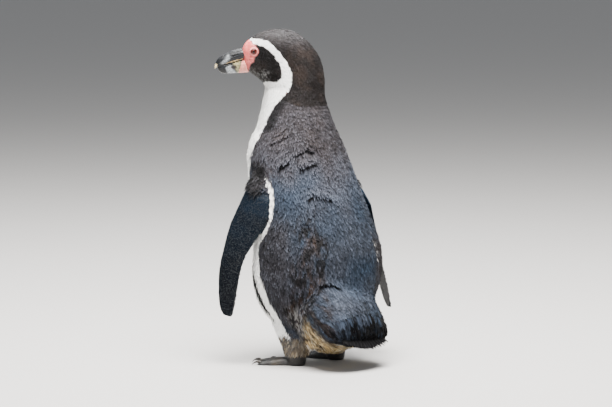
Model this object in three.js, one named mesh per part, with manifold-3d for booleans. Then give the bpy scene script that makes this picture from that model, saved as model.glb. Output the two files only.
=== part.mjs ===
// A Humboldt penguin standing on both feet, life size, in millimetres.
// The trunk faces -Y, the bird's own left is +X and up is +Z. The head is turned to the left,
// the left flipper is held off the body and the tail is swung to the right.
// The flesh is one form lofted through named cross-sections and parted by thin gaps, and it
// reaches out to the tips of the feathers.

import * as THREE from "three";
import { mergeVertices } from "three/addons/utils/BufferGeometryUtils.js";
import Module from "manifold-3d";

const wasm = await Module();
wasm.setup();

// ---------------------------------------------------------------- driving dimensions

const GAP = 0.35; // clearance between neighbouring nodes
const BODY_SEGMENTS = 36;
const NECK_BASE_LEVEL = 347;
const THROAT_LEVEL = 408;

const HEAD_TURN = 58; // degrees to the bird's left
const NECK_FORWARD = 52; // how far the neck stands in front of the origin's line
const NECK_ASIDE = 20.5; // how far it leans to the bird's left

const TAIL_ROOT = new THREE.Vector3(1, 36, 82);
const TAIL_LENGTH = 87.5;
const TAIL_SWING = 14; // degrees to the bird's right
const TAIL_DROOP = 38; // degrees below level
const TAIL_ROLL = 5; // degrees that its right side is rolled down
const TAIL_FEATHERS = 14;
const TAIL_ARC = 11; // how much shorter the outermost feathers reach
const TAIL_NOTCH = 3.2; // how far the gaps between feather tips cut into the fan
const TAIL_RINGS = 8;
const TAIL_SEGMENTS = 40;

const FLIPPER_THICKNESS = 12;
const FLIPPER_RINGS = 15;
const FLIPPER_SEGMENTS = 16;

const LEG_SEGMENTS = 18;
const ANKLE_LEVEL = 19;
const WEB_THICKNESS = 3;
const CLAW_LENGTH = 13;
const CLAW_SEGMENTS = 6;

const EYE_RADIUS = 7.2;
const EYE_FORWARD = 60;
const EYE_LEVEL = 457.3;
const EYE_APART = 14.8; // from the head's middle to the middle of each eyeball

const SIDES = { left: 1, right: -1 };

// ---------------------------------------------------------------- the body's cross-sections

// Each row is a level slice through the bird, from the vent to the crown:
//   level    height of the slice
//   forward  how far its centre stands in front of the origin's line
//   aside    how far its centre leans to the bird's left
//   reach    how far its centre is pushed further along the way the head looks
//   depth    half its length along the way it faces
//   width    half its width across that
//   turn     how much of the head's turn it has taken up, from 0 to 1
//   taper    how much narrower its front is than its back
//   square   roundness: 2 is an ellipse, more is fuller
const TRUNK_SLICES = [
  { at: "vent", level: 19, forward: -14, aside: 0, depth: 8, width: 8, taper: 0, square: 2 },
  { at: "vent rim", level: 22, forward: -12, aside: 0, depth: 24, width: 23, taper: 0, square: 2 },
  { at: "under tail", level: 32, forward: -6, aside: 0, depth: 42, width: 41, taper: 0, square: 2 },
  { at: "groin", level: 48, forward: 5, aside: 1.5, depth: 58, width: 57, taper: 0, square: 2.05 },
  { at: "thighs", level: 70, forward: 17, aside: 2.5, depth: 73, width: 76, taper: 0, square: 2.1 },
  { at: "rump", level: 92, forward: 24, aside: 2.5, depth: 82, width: 86.5, taper: 0.02, square: 2.12 },
  { at: "belly", level: 126, forward: 24, aside: 2, depth: 89, width: 94.5, taper: 0.04, square: 2.15 },
  { at: "lower back", level: 165, forward: 24, aside: 1.5, depth: 88, width: 95, taper: 0.06, square: 2.15 },
  { at: "mid back", level: 206, forward: 32, aside: 5, depth: 83, width: 89, taper: 0.07, square: 2.15 },
  { at: "flippers", level: 252, forward: 43, aside: 11, depth: 78, width: 82, taper: 0.07, square: 2.12 },
  { at: "shoulders", level: 290, forward: 49, aside: 16, depth: 75, width: 76, taper: 0.05, square: 2.1 },
  { at: "breast", level: 314, forward: 51.5, aside: 19.5, depth: 72.5, width: 72, taper: 0.03, square: 2.05 },
  { at: "neck base", level: 347, forward: 50, aside: 20, depth: 58, width: 59, taper: 0, square: 2 },
];
const HEAD_SLICES = [
  { at: "mid neck", level: 371, reach: 0, depth: 50.5, width: 49, taper: 0, square: 2 },
  { at: "throat", level: 389, reach: 1, depth: 46.5, width: 43, taper: 0.04, square: 2 },
  { at: "under chin", level: 408, reach: 0.5, depth: 45, width: 39, taper: 0.08, square: 2 },
  { at: "chin", level: 415, reach: 4, depth: 48, width: 37.5, taper: 0.14, square: 2.05 },
  { at: "jaw", level: 423, reach: 10.5, depth: 53.5, width: 36, taper: 0.22, square: 2.08 },
  { at: "gape", level: 434, reach: 16, depth: 57, width: 34.5, taper: 0.27, square: 2.12 },
  { at: "cheek", level: 447, reach: 20, depth: 57, width: 33, taper: 0.26, square: 2.2 },
  { at: "eyes", level: 459, reach: 24, depth: 53.5, width: 31.5, taper: 0.22, square: 2.3 },
  { at: "brow", level: 467, reach: 25.5, depth: 49, width: 29.5, taper: 0.2, square: 2.2 },
  { at: "forehead", level: 475, reach: 26, depth: 41, width: 26.5, taper: 0.12, square: 2 },
  { at: "crown", level: 482, reach: 26, depth: 31.5, width: 22, taper: 0.05, square: 2 },
  { at: "crown top", level: 487.5, reach: 25, depth: 20, width: 15, taper: 0, square: 2 },
  { at: "crown tip", level: 490, reach: 25, depth: 9, width: 7, taper: 0, square: 2 },
];

// The neck takes up the head's turn between these levels.
const TURN_START_LEVEL = 300;
const TURN_END_LEVEL = 389;

const SLICES = [
  ...TRUNK_SLICES.map((slice) => ({ ...slice, reach: 0 })),
  ...HEAD_SLICES.map((slice) => ({ ...slice, forward: NECK_FORWARD, aside: NECK_ASIDE })),
];

// A smooth value through the rows of a table, at one place along it.
function valueAt(rows, placeKey, valueKey, place) {
  let i = 0;
  while (i < rows.length - 2 && place > rows[i + 1][placeKey]) {
    i += 1;
  }
  const before = rows[Math.max(i - 1, 0)];
  const start = rows[i];
  const end = rows[i + 1];
  const after = rows[Math.min(i + 2, rows.length - 1)];
  const span = end[placeKey] - start[placeKey];
  const slopeIn = (end[valueKey] - before[valueKey]) / (end[placeKey] - before[placeKey]);
  const slopeOut = (after[valueKey] - start[valueKey]) / (after[placeKey] - start[placeKey]);
  const t = THREE.MathUtils.clamp((place - start[placeKey]) / span, 0, 1);
  const t2 = t * t;
  const t3 = t2 * t;
  return (
    (2 * t3 - 3 * t2 + 1) * start[valueKey] +
    (t3 - 2 * t2 + t) * span * slopeIn +
    (3 * t2 - 2 * t3) * end[valueKey] +
    (t3 - t2) * span * slopeOut
  );
}

// The level direction that something turned to the bird's left by so many degrees looks along.
function lookDirection(degrees) {
  const angle = THREE.MathUtils.degToRad(degrees);
  return new THREE.Vector3(Math.sin(angle), -Math.cos(angle), 0);
}

// The level direction to the left of one that looks ahead.
function leftOf(ahead) {
  return new THREE.Vector3(-ahead.y, ahead.x, 0);
}

const HEAD_AHEAD = lookDirection(HEAD_TURN);
const HEAD_LEFT = leftOf(HEAD_AHEAD);
const NECK_AXIS = new THREE.Vector3(NECK_ASIDE, -NECK_FORWARD, 0);

// A point of the head, from how far it is ahead of the neck's axis, to its left, and up.
function headPoint(ahead, left, level) {
  return NECK_AXIS.clone()
    .addScaledVector(HEAD_AHEAD, ahead)
    .addScaledVector(HEAD_LEFT, left)
    .setZ(level);
}

function signedPower(value, power) {
  return Math.sign(value) * Math.abs(value) ** power;
}

// One closed slice of the body at a level, as a ring of points.
function bodyRing(level, grow) {
  const read = (key) => valueAt(SLICES, "level", key, level);
  const degrees = HEAD_TURN * THREE.MathUtils.smoothstep(level, TURN_START_LEVEL, TURN_END_LEVEL);
  const turn = THREE.MathUtils.degToRad(degrees);
  const ahead = lookDirection(degrees);
  const left = leftOf(ahead);
  const centre = new THREE.Vector3(read("aside"), -read("forward"), level);
  centre.addScaledVector(HEAD_AHEAD, read("reach"));
  const depth = read("depth") + grow;
  const width = read("width") + grow;
  const taper = read("taper");
  const power = 2 / read("square");
  const points = [];
  for (let i = 0; i < BODY_SEGMENTS; i += 1) {
    // Points keep to one bearing from slice to slice, so the turn of the neck twists no face.
    const angle = (2 * Math.PI * i) / BODY_SEGMENTS - turn;
    const along = signedPower(Math.cos(angle), power);
    const across = signedPower(Math.sin(angle), power) * (1 - taper * along);
    points.push(centre.clone().addScaledVector(ahead, along * depth).addScaledVector(left, across * width));
  }
  return points;
}

// ---------------------------------------------------------------- closed forms from rings

function middleOf(points) {
  const middle = new THREE.Vector3();
  for (const point of points) {
    middle.add(point);
  }
  return middle.divideScalar(points.length);
}

// A closed form through rings of equal count, each end closed by a fan about its middle.
function loft(rings, startTip = middleOf(rings[0]), endTip = middleOf(rings[rings.length - 1])) {
  const count = rings[0].length;
  const positions = [];
  for (const ring of rings) {
    for (const point of ring) {
      positions.push(point.x, point.y, point.z);
    }
  }
  positions.push(startTip.x, startTip.y, startTip.z, endTip.x, endTip.y, endTip.z);
  const startIndex = rings.length * count;
  const endIndex = startIndex + 1;
  const faces = [];
  for (let i = 0; i < count; i += 1) {
    const next = (i + 1) % count;
    faces.push(startIndex, next, i);
    for (let j = 0; j < rings.length - 1; j += 1) {
      const low = j * count;
      const high = low + count;
      faces.push(low + i, low + next, high + next);
      faces.push(low + i, high + next, high + i);
    }
    const last = (rings.length - 1) * count;
    faces.push(last + i, last + next, endIndex);
  }
  return facesOut(positions, faces);
}

// The geometry of an indexed mesh, turned so that its faces point out.
function facesOut(positions, faces) {
  let volume = 0;
  const corner = (index) => new THREE.Vector3().fromArray(positions, index * 3);
  for (let i = 0; i < faces.length; i += 3) {
    volume += corner(faces[i]).dot(corner(faces[i + 1]).cross(corner(faces[i + 2])));
  }
  const index = volume < 0 ? faces.slice().reverse() : faces;
  const geometry = new THREE.BufferGeometry();
  geometry.setAttribute("position", new THREE.Float32BufferAttribute(positions, 3));
  geometry.setIndex(index);
  return geometry;
}

// A closed mesh as a solid that can be joined and cut.
function solid(geometry) {
  const bare = geometry.clone();
  bare.deleteAttribute("normal");
  bare.deleteAttribute("uv");
  const merged = mergeVertices(bare, 1e-4);
  const vertProperties = new Float32Array(merged.attributes.position.array);
  const triVerts = new Uint32Array(merged.index.array);
  return new wasm.Manifold(new wasm.Mesh({ numProp: 3, vertProperties, triVerts }));
}

// A solid back as a geometry, keeping only its largest piece.
function shape(cut) {
  const pieces = cut.decompose().sort((a, b) => b.volume() - a.volume());
  const mesh = pieces[0].getMesh();
  const geometry = new THREE.BufferGeometry();
  geometry.setAttribute("position", new THREE.BufferAttribute(new Float32Array(mesh.vertProperties), 3));
  geometry.setIndex(Array.from(mesh.triVerts));
  return geometry;
}

// Ways to space rings along a form: evenly, or closer together where it rounds off.
const even = (t) => t;
const closeAtStart = (t) => 1 - Math.cos((t * Math.PI) / 2);
const closeAtEnd = (t) => Math.sin((t * Math.PI) / 2);

// Places from one value to another, in so many steps.
function placesBetween(from, to, steps, spacing) {
  return Array.from({ length: steps + 1 }, (_, i) => from + (to - from) * spacing(i / steps));
}

function bodyBetween(levels, grow) {
  return loft(levels.map((level) => bodyRing(level, grow)));
}

// ---------------------------------------------------------------- trunk, neck and head

const VENT_LEVEL = SLICES[0].level;
const CROWN_LEVEL = SLICES[SLICES.length - 1].level;

const TRUNK_RINGS = 24;
const NECK_RINGS = 6;
const HEAD_RINGS = 16;

const trunkLevels = placesBetween(VENT_LEVEL, NECK_BASE_LEVEL - GAP / 2, TRUNK_RINGS, closeAtStart);
const neckLevels = placesBetween(NECK_BASE_LEVEL + GAP / 2, THROAT_LEVEL - GAP / 2, NECK_RINGS, even);
const headLevels = placesBetween(THROAT_LEVEL + GAP / 2, CROWN_LEVEL, HEAD_RINGS, closeAtEnd);

const grownTrunk = solid(bodyBetween(trunkLevels, GAP));
const grownHead = solid(bodyBetween(headLevels, GAP));

// ---------------------------------------------------------------- eyes

// The centre of an eyeball, set so that its front stands just proud of the cheek.
function eyeCentre(side) {
  return headPoint(EYE_FORWARD, side * EYE_APART, EYE_LEVEL);
}

function eyeball(side, grow) {
  const geometry = new THREE.SphereGeometry(EYE_RADIUS + grow, 12, 8);
  const centre = eyeCentre(side);
  geometry.rotateX(Math.PI / 2);
  geometry.translate(centre.x, centre.y, centre.z);
  return geometry;
}

function headGeometry() {
  const sockets = solid(eyeball(SIDES.left, GAP)).add(solid(eyeball(SIDES.right, GAP)));
  return shape(solid(bodyBetween(headLevels, 0)).subtract(sockets));
}

// ---------------------------------------------------------------- bill

// Rows run from inside the face to the tip: how far ahead, the levels of the ridge above and of
// the edge that meets the other half, and half the width.
const UPPER_BILL = [
  { ahead: 62, top: 461.5, bottom: 448.6, width: 11.5 },
  { ahead: 76, top: 462, bottom: 445.4, width: 10.8 },
  { ahead: 86, top: 460, bottom: 442.4, width: 9.4 },
  { ahead: 95, top: 457, bottom: 440, width: 8 },
  { ahead: 103, top: 452.8, bottom: 438.4, width: 6.8 },
  { ahead: 109.5, top: 449.3, bottom: 436.6, width: 5.6 },
  { ahead: 114, top: 445, bottom: 434, width: 4.2 },
  { ahead: 116.6, top: 440, bottom: 431.6, width: 2.6 },
  { ahead: 117.6, top: 435.5, bottom: 431.4, width: 1.2 },
];
const LOWER_BILL = [
  { ahead: 60, top: 448.6, bottom: 427, width: 11 },
  { ahead: 71, top: 446.1, bottom: 425.8, width: 10.6 },
  { ahead: 80, top: 443.8, bottom: 425, width: 9.2 },
  { ahead: 92, top: 440.4, bottom: 424.6, width: 7.4 },
  { ahead: 101, top: 438.4, bottom: 424, width: 6.2 },
  { ahead: 108, top: 436.6, bottom: 425, width: 4.8 },
  { ahead: 111.6, top: 435, bottom: 428, width: 3.2 },
  { ahead: 113, top: 434, bottom: 430.8, width: 1.6 },
];
const BILL_RINGS = 11;
const BILL_SEGMENTS = 12;
const BILL_RIDGE = 1.6; // more than 1 keeps the sides of the bill full up to its ridge
const BILL_SIDES = 0.8; // less than 1 flattens them

// Half a bill: the ridge side is rounded, the side that shuts is broad and nearly flat.
function billHalf(rows, ridgeUp) {
  const first = rows[0].ahead;
  const last = rows[rows.length - 1].ahead;
  const rings = [];
  for (const ahead of placesBetween(first, last, BILL_RINGS, closeAtEnd)) {
    const read = (key) => valueAt(rows, "ahead", key, ahead);
    const shut = ridgeUp ? read("bottom") : read("top");
    const ridge = ridgeUp ? read("top") : read("bottom");
    const ring = [];
    for (let i = 0; i < BILL_SEGMENTS; i += 1) {
      const angle = (2 * Math.PI * i) / BILL_SEGMENTS;
      const toRidge = (1 - Math.cos(angle)) / 2;
      const level = shut + (ridge - shut) * toRidge ** BILL_RIDGE;
      ring.push(headPoint(ahead, read("width") * signedPower(Math.sin(angle), BILL_SIDES), level));
    }
    rings.push(ring);
  }
  return loft(rings);
}

function billGeometry(rows, ridgeUp) {
  return shape(solid(billHalf(rows, ridgeUp)).subtract(grownHead));
}

// ---------------------------------------------------------------- tail

// Rows run along the tail from inside the rump to the tips: half its width, and how far it
// rises above its middle line and hangs below it.
const TAIL_ROWS = [
  { along: -0.15, width: 68, above: 50, below: 50 },
  { along: 0, width: 68, above: 48, below: 50 },
  { along: 0.3, width: 69, above: 38, below: 45 },
  { along: 0.55, width: 66, above: 28, below: 29 },
  { along: 0.78, width: 60, above: 15, below: 13 },
  { along: 1, width: 51, above: 2.4, below: 2.4 },
];

// The end of the tail starts to part into feather tips here.
const FAN_START = 0.55;

function tailGeometry() {
  const level = lookDirection(180 + TAIL_SWING);
  const droop = THREE.MathUtils.degToRad(TAIL_DROOP);
  const back = level.clone().multiplyScalar(Math.cos(droop)).setZ(-Math.sin(droop));
  const roll = THREE.MathUtils.degToRad(TAIL_ROLL);
  const across = leftOf(level).applyAxisAngle(back, -roll);
  const above = new THREE.Vector3().crossVectors(back, across).normalize();
  const rings = [];
  const first = TAIL_ROWS[0].along;
  for (let j = 0; j <= TAIL_RINGS; j += 1) {
    const along = first + (1 - first) * (j / TAIL_RINGS);
    const width = valueAt(TAIL_ROWS, "along", "width", along);
    const rise = valueAt(TAIL_ROWS, "along", "above", along);
    const hang = valueAt(TAIL_ROWS, "along", "below", along);
    const ring = [];
    for (let i = 0; i < TAIL_SEGMENTS; i += 1) {
      const angle = (2 * Math.PI * i) / TAIL_SEGMENTS;
      const side = Math.cos(angle);
      // The fan's end is an arc, notched between the feather tips.
      const arc = TAIL_ARC * side * side;
      const tips = TAIL_NOTCH * Math.abs(Math.sin((TAIL_FEATHERS / 2) * Math.PI * side));
      const fade = THREE.MathUtils.smoothstep(along, FAN_START, 1);
      const length = along * TAIL_LENGTH - fade * (arc + tips);
      ring.push(
        TAIL_ROOT.clone()
          .addScaledVector(back, length)
          .addScaledVector(across, side * width)
          .addScaledVector(above, Math.sin(angle) * (angle < Math.PI ? rise : hang)),
      );
    }
    rings.push(ring);
  }
  return shape(solid(loft(rings)).subtract(grownTrunk));
}

// ---------------------------------------------------------------- flippers

// Rows run along the flipper from inside the shoulder to the tip: half the chord, how far its
// middle bows towards the leading edge and lifts off the body, and thickness as a share.
const FLIPPER_ROWS = [
  { along: 0, chord: 16, bow: 4, lift: 0, thick: 1 },
  { along: 0.16, chord: 20.5, bow: -1, lift: 15, thick: 1 },
  { along: 0.29, chord: 28.5, bow: -3.5, lift: 16, thick: 0.95 },
  { along: 0.44, chord: 28, bow: 9.5, lift: 7, thick: 0.85 },
  { along: 0.51, chord: 24.5, bow: 14, lift: 5, thick: 0.8 },
  { along: 0.61, chord: 20.5, bow: 20, lift: 1, thick: 0.7 },
  { along: 0.7, chord: 20, bow: 22.5, lift: -3, thick: 0.62 },
  { along: 0.81, chord: 18.6, bow: 19, lift: -4, thick: 0.52 },
  { along: 0.88, chord: 17, bow: 14.5, lift: -3, thick: 0.46 },
  { along: 0.94, chord: 14.5, bow: 10.5, lift: -2, thick: 0.4 },
  { along: 0.98, chord: 11.5, bow: 6.5, lift: -1, thick: 0.34 },
  { along: 1, chord: 7.5, bow: 3.5, lift: 0, thick: 0.3 },
];

// Where each flipper grows and hangs:
//   turn    degrees that its leading edge is turned outward
//   spread  how much it has of the lift off the body that the rows give
//   bend    how far its lower half bulges away from the body besides
const FLIPPERS = {
  left: {
    root: new THREE.Vector3(76, -32, 290),
    tip: new THREE.Vector3(130, -58, 71.5),
    turn: 25,
    spread: 1,
    bend: 0,
  },
  right: {
    root: new THREE.Vector3(-48, -46, 290),
    tip: new THREE.Vector3(-131.5, -26, 70),
    turn: 12,
    spread: 0.6,
    bend: 16,
  },
};
const BEND_SKEW = 1.5; // more than 1 puts the bend below the middle of the flipper
const BLADE_FULLNESS = 0.35; // how much thicker the front of the blade is than its middle

function flipperGeometry(name) {
  const { root, tip, turn, spread, bend } = FLIPPERS[name];
  const span = tip.clone().sub(root);
  const down = span.clone().normalize();
  const lead = lookDirection(SIDES[name] * turn);
  lead.addScaledVector(down, -lead.dot(down)).normalize();
  const outward = new THREE.Vector3().crossVectors(lead, down).multiplyScalar(SIDES[name]).normalize();
  const rings = [];
  for (const along of placesBetween(0, 1, FLIPPER_RINGS, closeAtEnd)) {
    const read = (key) => valueAt(FLIPPER_ROWS, "along", key, along);
    const centre = root.clone().addScaledVector(span, along).addScaledVector(lead, read("bow"));
    const bulge = bend * Math.sin(along ** BEND_SKEW * Math.PI);
    centre.addScaledVector(outward, read("lift") * spread + bulge);
    const ring = [];
    for (let i = 0; i < FLIPPER_SEGMENTS; i += 1) {
      const angle = (2 * Math.PI * i) / FLIPPER_SEGMENTS;
      const chordwise = Math.cos(angle);
      const fullness = read("thick") * Math.sin(angle) * (1 + BLADE_FULLNESS * chordwise);
      ring.push(
        centre
          .clone()
          .addScaledVector(lead, chordwise * read("chord"))
          .addScaledVector(outward, (FLIPPER_THICKNESS / 2) * fullness),
      );
    }
    rings.push(ring);
  }
  return shape(solid(loft(rings)).subtract(grownTrunk));
}

// ---------------------------------------------------------------- legs

// Where each leg stands: its heel on the floor, and how far the foot is turned to the left.
const STANCE = {
  left: { heel: new THREE.Vector3(36, 9, 0), turn: 34 },
  right: { heel: new THREE.Vector3(-36, -5, 0), turn: 12 },
};
const ANKLE_AHEAD = 19; // from the back of the heel to the middle of the ankle
const LEG_LEAN = 0.12; // how far the leg leans forward for each millimetre up
const LEG_RINGS = 6;
const LEG_ROWS = [
  { level: 19, width: 18, depth: 19 },
  { level: 26, width: 19, depth: 20 },
  { level: 38, width: 21, depth: 24 },
  { level: 54, width: 24, depth: 30 },
  { level: 74, width: 26, depth: 33 },
];

// A point of a foot or leg, from how far it is ahead of the heel, to its left, and up.
function footPoint(name, ahead, left, level) {
  const { heel, turn } = STANCE[name];
  const direction = lookDirection(turn);
  return heel.clone().addScaledVector(direction, ahead).addScaledVector(leftOf(direction), left).setZ(level);
}

function legLoft(name, fromLevel, grow) {
  const toLevel = LEG_ROWS[LEG_ROWS.length - 1].level;
  const rings = [];
  for (const level of placesBetween(fromLevel, toLevel, LEG_RINGS, even)) {
    const width = valueAt(LEG_ROWS, "level", "width", level) + grow;
    const depth = valueAt(LEG_ROWS, "level", "depth", level) + grow;
    const centre = ANKLE_AHEAD + (level - fromLevel) * LEG_LEAN;
    const ring = [];
    for (let i = 0; i < LEG_SEGMENTS; i += 1) {
      const angle = (2 * Math.PI * i) / LEG_SEGMENTS;
      const ahead = centre + Math.cos(angle) * depth;
      ring.push(footPoint(name, ahead, Math.sin(angle) * width, level));
    }
    rings.push(ring);
  }
  return loft(rings);
}

// The two thighs press together under the vent, so the right one gives way to the left.
function legGeometry(name) {
  const leg = solid(legLoft(name, ANKLE_LEVEL + GAP, 0)).subtract(grownTrunk);
  return shape(name === "right" ? leg.subtract(solid(legLoft("left", ANKLE_LEVEL, GAP))) : leg);
}

// ---------------------------------------------------------------- feet and claws

// Each toe runs from the ankle: which way it splays from the middle toe, its length, and half
// its width and its height at the ball.
const TOES = {
  inner: { splay: -25, length: 53, width: 7.5, height: 11 },
  middle: { splay: 0, length: 63, width: 8, height: 12 },
  outer: { splay: 24, length: 57, width: 7.5, height: 11 },
};
const TOE_SEGMENTS = 9;
const TOE_RINGS = 7;
const KNUCKLE_SWELL = 0.1; // how much wider a toe is at its joints
const KNUCKLE_PITCH = 0.36; // radians of that swell for each millimetre along the toe
const TOE_SLOPE = 0.5; // how much of its height a toe loses towards its tip
const WEB_REACH = 0.93; // how far along the toes the web runs
const WEB_DIP = 0.2; // how far its front edge curves in between their tips
const WEB_STEPS = 8;

// How many degrees a toe is turned to the bird's left.
function toeTurn(name, toe) {
  return STANCE[name].turn + SIDES[name] * toe.splay;
}

// A toe with a flat sole: a rounded back over a flat base, ending in a blunt tip.
function toeLoft(name, toe, grow) {
  const direction = lookDirection(toeTurn(name, toe));
  const left = leftOf(direction);
  const start = footPoint(name, ANKLE_AHEAD, 0, 0);
  const rings = [];
  for (let j = 0; j <= TOE_RINGS; j += 1) {
    const t = j / TOE_RINGS;
    const along = toe.length * Math.sin((t * Math.PI) / 2);
    const knuckle = 1 + KNUCKLE_SWELL * Math.cos(along * KNUCKLE_PITCH);
    const blunt = Math.sqrt(Math.max(1 - (along / (toe.length + 1.5)) ** 4, 0.02));
    const width = (toe.width * knuckle + grow) * blunt;
    const height = (toe.height * (1.15 - (TOE_SLOPE * along) / toe.length) + grow) * blunt;
    const ring = [];
    for (let i = 0; i < TOE_SEGMENTS; i += 1) {
      const angle = (Math.PI * i) / (TOE_SEGMENTS - 1);
      const point = start.clone().addScaledVector(direction, along + grow);
      ring.push(point.addScaledVector(left, Math.cos(angle) * width).setZ(Math.sin(angle) * height));
    }
    rings.push(ring);
  }
  return loft(rings);
}

const ANKLE_ROWS = [
  { level: 0, size: 11.5 },
  { level: 5, size: 13.5 },
  { level: 12, size: 14.5 },
  { level: ANKLE_LEVEL, size: 16 },
];
const ANKLE_LENGTH = 1.08; // how much longer the ankle is than it is wide

// The heel pad and the stub of the tarsus, down to the floor.
function anklePad(name) {
  const rings = [];
  for (const { level, size } of ANKLE_ROWS) {
    const ring = [];
    for (let i = 0; i < LEG_SEGMENTS; i += 1) {
      const angle = (2 * Math.PI * i) / LEG_SEGMENTS;
      const ahead = ANKLE_AHEAD + Math.cos(angle) * size * ANKLE_LENGTH;
      ring.push(footPoint(name, ahead, Math.sin(angle) * size, level));
    }
    rings.push(ring);
  }
  return loft(rings);
}

// The web between two toes, with a front edge that curves in between their tips.
function webPlate(name, first, second) {
  const start = footPoint(name, ANKLE_AHEAD, 0, 0);
  const reach = (toe) => toe.length * WEB_REACH;
  const outline = [start];
  for (let i = 0; i <= WEB_STEPS; i += 1) {
    const t = i / WEB_STEPS;
    const turn = THREE.MathUtils.lerp(toeTurn(name, first), toeTurn(name, second), t);
    const dip = 1 - WEB_DIP * Math.sin(t * Math.PI);
    const length = THREE.MathUtils.lerp(reach(first), reach(second), t) * dip;
    outline.push(start.clone().addScaledVector(lookDirection(turn), length));
  }
  const top = outline.map((point) => point.clone().setZ(WEB_THICKNESS));
  return loft([outline, top]);
}

function footGeometry(name) {
  let foot = solid(anklePad(name));
  for (const toe of Object.values(TOES)) {
    foot = foot.add(solid(toeLoft(name, toe, 0)));
  }
  foot = foot.add(solid(webPlate(name, TOES.inner, TOES.middle)));
  foot = foot.add(solid(webPlate(name, TOES.middle, TOES.outer)));
  return shape(foot);
}

const CLAW_ROOT = { level: 4.6, size: 2.9, inside: 5 }; // where it starts inside the toe
const CLAW_RISE = 1.3; // how far its middle arches up
const CLAW_FALL = 3.9; // how far its point comes down
const CLAW_TAPER = 0.86;
const CLAW_RINGS = 4;

// A curved, pointed claw that grows out of the end of its toe.
function clawGeometry(name, toe) {
  const direction = lookDirection(toeTurn(name, toe));
  const left = leftOf(direction);
  const start = footPoint(name, ANKLE_AHEAD, 0, 0);
  start.addScaledVector(direction, toe.length - CLAW_ROOT.inside);
  const rings = [];
  for (let j = 0; j <= CLAW_RINGS; j += 1) {
    const t = j / CLAW_RINGS;
    const size = CLAW_ROOT.size * (1 - t * CLAW_TAPER);
    const level = CLAW_ROOT.level + CLAW_RISE * Math.sin(t * Math.PI) - CLAW_FALL * t * t;
    const centre = start.clone().addScaledVector(direction, t * CLAW_LENGTH).setZ(level);
    const ring = [];
    for (let i = 0; i < CLAW_SEGMENTS; i += 1) {
      const angle = (2 * Math.PI * i) / CLAW_SEGMENTS;
      const point = centre.clone().addScaledVector(left, Math.cos(angle) * size);
      ring.push(point.setZ(level + Math.sin(angle) * size));
    }
    rings.push(ring);
  }
  return shape(solid(loft(rings)).subtract(solid(toeLoft(name, toe, GAP))));
}

// ---------------------------------------------------------------- materials

const COLOURS = {
  mantle: { color: 0x55545a, roughness: 0.8 },
  hood: { color: 0x4a4444, roughness: 0.85 },
  slate: { color: 0x2c3642, roughness: 0.7 },
  foot: { color: 0x3a3633, roughness: 0.6 },
  horn: { color: 0x2a2826, roughness: 0.45 },
  claw: { color: 0x1c1a19, roughness: 0.4 },
  eye: { color: 0x3a1410, roughness: 0.08 },
};

const materials = {};
for (const [name, { color, roughness }] of Object.entries(COLOURS)) {
  materials[name] = new THREE.MeshStandardMaterial({ color, roughness, metalness: 0 });
}

// ---------------------------------------------------------------- the whole bird

const penguin = new THREE.Group();

function addPart(name, geometry, material) {
  const mesh = new THREE.Mesh(geometry, materials[material]);
  mesh.name = name;
  penguin.add(mesh);
}

addPart("trunk", bodyBetween(trunkLevels, 0), "mantle");
addPart("neck", bodyBetween(neckLevels, 0), "hood");
addPart("head", headGeometry(), "hood");
addPart("bill_upper", billGeometry(UPPER_BILL, true), "horn");
addPart("bill_lower", billGeometry(LOWER_BILL, false), "horn");
addPart("tail", tailGeometry(), "slate");
for (const [name, side] of Object.entries(SIDES)) {
  addPart(`eye_${name}`, eyeball(side, 0), "eye");
  addPart(`flipper_${name}`, flipperGeometry(name), "slate");
  addPart(`leg_${name}`, legGeometry(name), "foot");
  addPart(`foot_${name}`, footGeometry(name), "foot");
  for (const [toeName, toe] of Object.entries(TOES)) {
    addPart(`claw_${name}_${toeName}`, clawGeometry(name, toe), "claw");
  }
}

// The origin is on the floor, under the middle of the bird's outer box.
const box = new THREE.Box3().setFromObject(penguin);
const middle = box.getCenter(new THREE.Vector3());
penguin.position.set(-middle.x, -middle.y, -box.min.z);
penguin.updateMatrixWorld(true);

export default penguin;
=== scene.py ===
# %% [markdown]
# # A standing Humboldt penguin, in feathers
# The real bird is one body of flesh under a close coat of some tens of thousands of short, stiff,
# overlapping feathers. It could be sculpted by hand or painted on. Here the packed solids give
# the form out to the feather tips, one skin is drawn in from them, and the coat is grown over
# that skin as thin curved vanes, so the light breaks on real edges from every side.

# %% Load the frame
import math

import bmesh
import bpy
import numpy as np
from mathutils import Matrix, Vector
from mathutils.bvhtree import BVHTree


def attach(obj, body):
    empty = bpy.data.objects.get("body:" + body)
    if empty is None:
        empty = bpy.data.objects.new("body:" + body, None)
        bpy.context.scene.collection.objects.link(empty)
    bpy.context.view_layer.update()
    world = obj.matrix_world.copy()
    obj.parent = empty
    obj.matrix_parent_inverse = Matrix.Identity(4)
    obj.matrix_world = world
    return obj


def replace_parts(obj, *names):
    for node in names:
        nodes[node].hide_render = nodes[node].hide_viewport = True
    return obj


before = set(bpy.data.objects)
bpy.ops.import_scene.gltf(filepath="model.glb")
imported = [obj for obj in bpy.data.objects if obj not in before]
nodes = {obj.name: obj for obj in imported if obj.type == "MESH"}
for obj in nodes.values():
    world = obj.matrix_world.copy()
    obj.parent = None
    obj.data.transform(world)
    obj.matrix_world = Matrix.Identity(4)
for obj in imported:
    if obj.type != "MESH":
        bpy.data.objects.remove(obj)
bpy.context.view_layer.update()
dice = np.random.default_rng(4006)
MM = 0.001
print("frame loaded:", len(nodes), "nodes")

# %% [markdown]
# ## Camera
# The bird is seen from behind its left side, from a few metres off and a little above the floor.
# A long lens keeps the head and the feet at one scale.

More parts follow.
